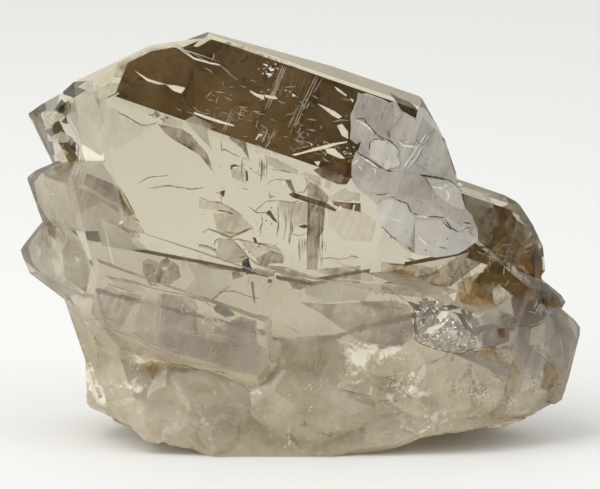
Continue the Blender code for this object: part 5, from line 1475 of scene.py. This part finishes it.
class QUARTZ_OT_flakes(bpy.types.Operator):
    """Adds the clusters of painted glints, as flakes and slivers, the specks, and the silver fracture at the
    right
    """
    bl_idname = "quartz.flakes"
    bl_label = "Flakes and Silver Fracture"

    def execute(self, context):
        # Painted glints: tiny pale flakes on the surface
        glints = Films(41)
        for x, v in scattered(glints.dice, GLINTS):
            glints.flake(x, v, glints.dice.uniform(0.06, 0.24), -0.05)
        glints.finish("glints", veil("painted_glint", "#ddd2b8", "#fffaee", 0.2, 0.9, 1))

        fracture = Films(42)
        edge = roughened(SILVER, 1.0, 0.4, 8)
        left, low = min(p[0] for p in edge), min(p[1] for p in edge)
        grid = {}
        for i in range(30):
            for j in range(30):
                x, v = left + i * SILVER_STEP, low + j * SILVER_STEP
                if inside(edge, x, v):
                    p = Vector((x, 0, v))
                    rough = 1.5 * broken(p, 2.6, 5) + 1.1 * broken(p, 1.0, 9)
                    grid[i, j] = fracture.corner(x, v, max(0.6 + 0.4 * (v - low) + rough, 0.35))
        for i, j in grid:
            ring = [grid.get(k) for k in ((i, j), (i + 1, j), (i + 1, j + 1), (i, j + 1))]
            if all(ring):
                fracture.bm.faces.new(ring)
        fracture.finish("silver_fracture", silver_fracture())

        # Painted glints, as thin slivers inside the quartz
        slivers = Films(43)
        for x, v in scattered(slivers.dice, SLIVERS):
            along = -C_AXIS_DIP + slivers.dice.choice((0, 0, math.pi / 2)) + slivers.dice.gauss(0, 0.25)
            slivers.flake(x, v, slivers.dice.uniform(0.25, 0.9), slivers.dice.uniform(0.3, 1.2), 0.14, along)
        slivers.finish("slivers", veil("painted_glint_sliver", "#d9cfb8", "#fffef8", 0.5, 0.9, 1.5))

        specks = Films(47)
        for x, v in scattered(specks.dice, SPECKS):
            specks.flake(x, v, specks.dice.uniform(0.08, 0.24), -0.03)
        specks.finish("specks", veil("dirt_speck", "#2c2418", "#5f523e", 0.7, 0.95, 1))
        return {"FINISHED"}


class QUARTZ_OT_stage(bpy.types.Operator):
    """Adds the pale floor, the soft lights and the camera"""
    bl_idname = "quartz.stage"
    bl_label = "Stage"

    def execute(self, context):
        scene = context.scene
        bpy.ops.mesh.primitive_circle_add(vertices=96, radius=4, fill_type="NGON")
        floor = context.object
        floor.name = "floor"
        paper = new_material("matt_white_paper")
        shader = add_node(paper.node_tree, "BsdfPrincipled", {
            "Base Color": linear("#ececea"), "Roughness": 0.9, "Specular IOR Level": 0.2})
        add_node(paper.node_tree, "OutputMaterial", None, {"Surface": shader})
        floor.data.materials.append(paper)

        # White room, with a dark opening behind the camera
        world = bpy.data.worlds.new("white_room")
        world.use_nodes = True
        tree = world.node_tree
        tree.nodes.clear()
        way = add_node(tree, "TexCoord")
        toward = add_node(tree, "VectorMath", {"operation": "DOT_PRODUCT", 1: (0, -0.985, 0.174)}, {
            0: way.outputs["Generated"]})
        strength = add_node(tree, "MapRange", {
            "From Min": 0.7, "From Max": 0.95, "To Min": 0.92, "To Max": 0.2}, {
            "Value": toward.outputs["Value"]})
        back = add_node(tree, "Background", {"Color": linear("#f6f6f5")}, {"Strength": strength})
        add_node(tree, "OutputWorld", None, {"Surface": back})
        scene.world = world

        for name, (place, size, power) in LIGHTS.items():
            light = bpy.data.lights.new(name, "AREA")
            light.size = size
            light.energy = power
            lamp = bpy.data.objects.new(name, light)
            lamp.location = place
            lamp.rotation_euler = (LIT_SPOT - Vector(place)).to_track_quat("-Z", "Y").to_euler()
            scene.collection.objects.link(lamp)

        distance = scene.quartz.camera_distance
        data = bpy.data.cameras.new("camera")
        camera = bpy.data.objects.new("camera", data)
        scene.collection.objects.link(camera)
        target = plate_point(VIEW_X, VIEW_V, VIEW_W)
        camera.location = plate_point(VIEW_X, VIEW_V, VIEW_W - distance / MM)
        camera.rotation_euler = (target - camera.location).to_track_quat("-Z", "Y").to_euler()
        sensor_width = 36
        data.sensor_width = sensor_width
        data.lens = sensor_width * distance / (VIEW_WIDTH * MM)
        data.clip_start = 0.01
        scene.camera = camera
        scene.view_settings.view_transform = "Standard"
        scene.cycles.max_bounces = 32
        scene.cycles.transmission_bounces = 32
        scene.cycles.glossy_bounces = 32
        scene.cycles.transparent_max_bounces = 24
        return {"FINISHED"}


class QUARTZ_PT_panel(bpy.types.Panel):
    """Quartz group tools"""
    bl_idname = "QUARTZ_PT_panel"
    bl_label = "Smoky Quartz"
    bl_space_type = "VIEW_3D"
    bl_region_type = "UI"
    bl_category = "Quartz"

    def draw(self, context):
        for name in QuartzSettings.__annotations__:
            self.layout.prop(context.scene.quartz, name)
        for operator in OPERATORS:
            self.layout.operator(operator.bl_idname)


OPERATORS = (QUARTZ_OT_crystal, QUARTZ_OT_inner_facets, QUARTZ_OT_cracks, QUARTZ_OT_flakes, QUARTZ_OT_stage)
CLASSES = (QuartzSettings, *OPERATORS, QUARTZ_PT_panel)


def register():
    for cls in CLASSES:
        bpy.utils.register_class(cls)
    bpy.types.Scene.quartz = bpy.props.PointerProperty(type=QuartzSettings)


def unregister():
    del bpy.types.Scene.quartz
    for cls in reversed(CLASSES):
        bpy.utils.unregister_class(cls)


def main():
    register()
    bpy.ops.quartz.crystal()
    bpy.ops.quartz.inner_facets()
    bpy.ops.quartz.cracks()
    bpy.ops.quartz.flakes()
    bpy.ops.quartz.stage()


if __name__ == "__main__":
    main()
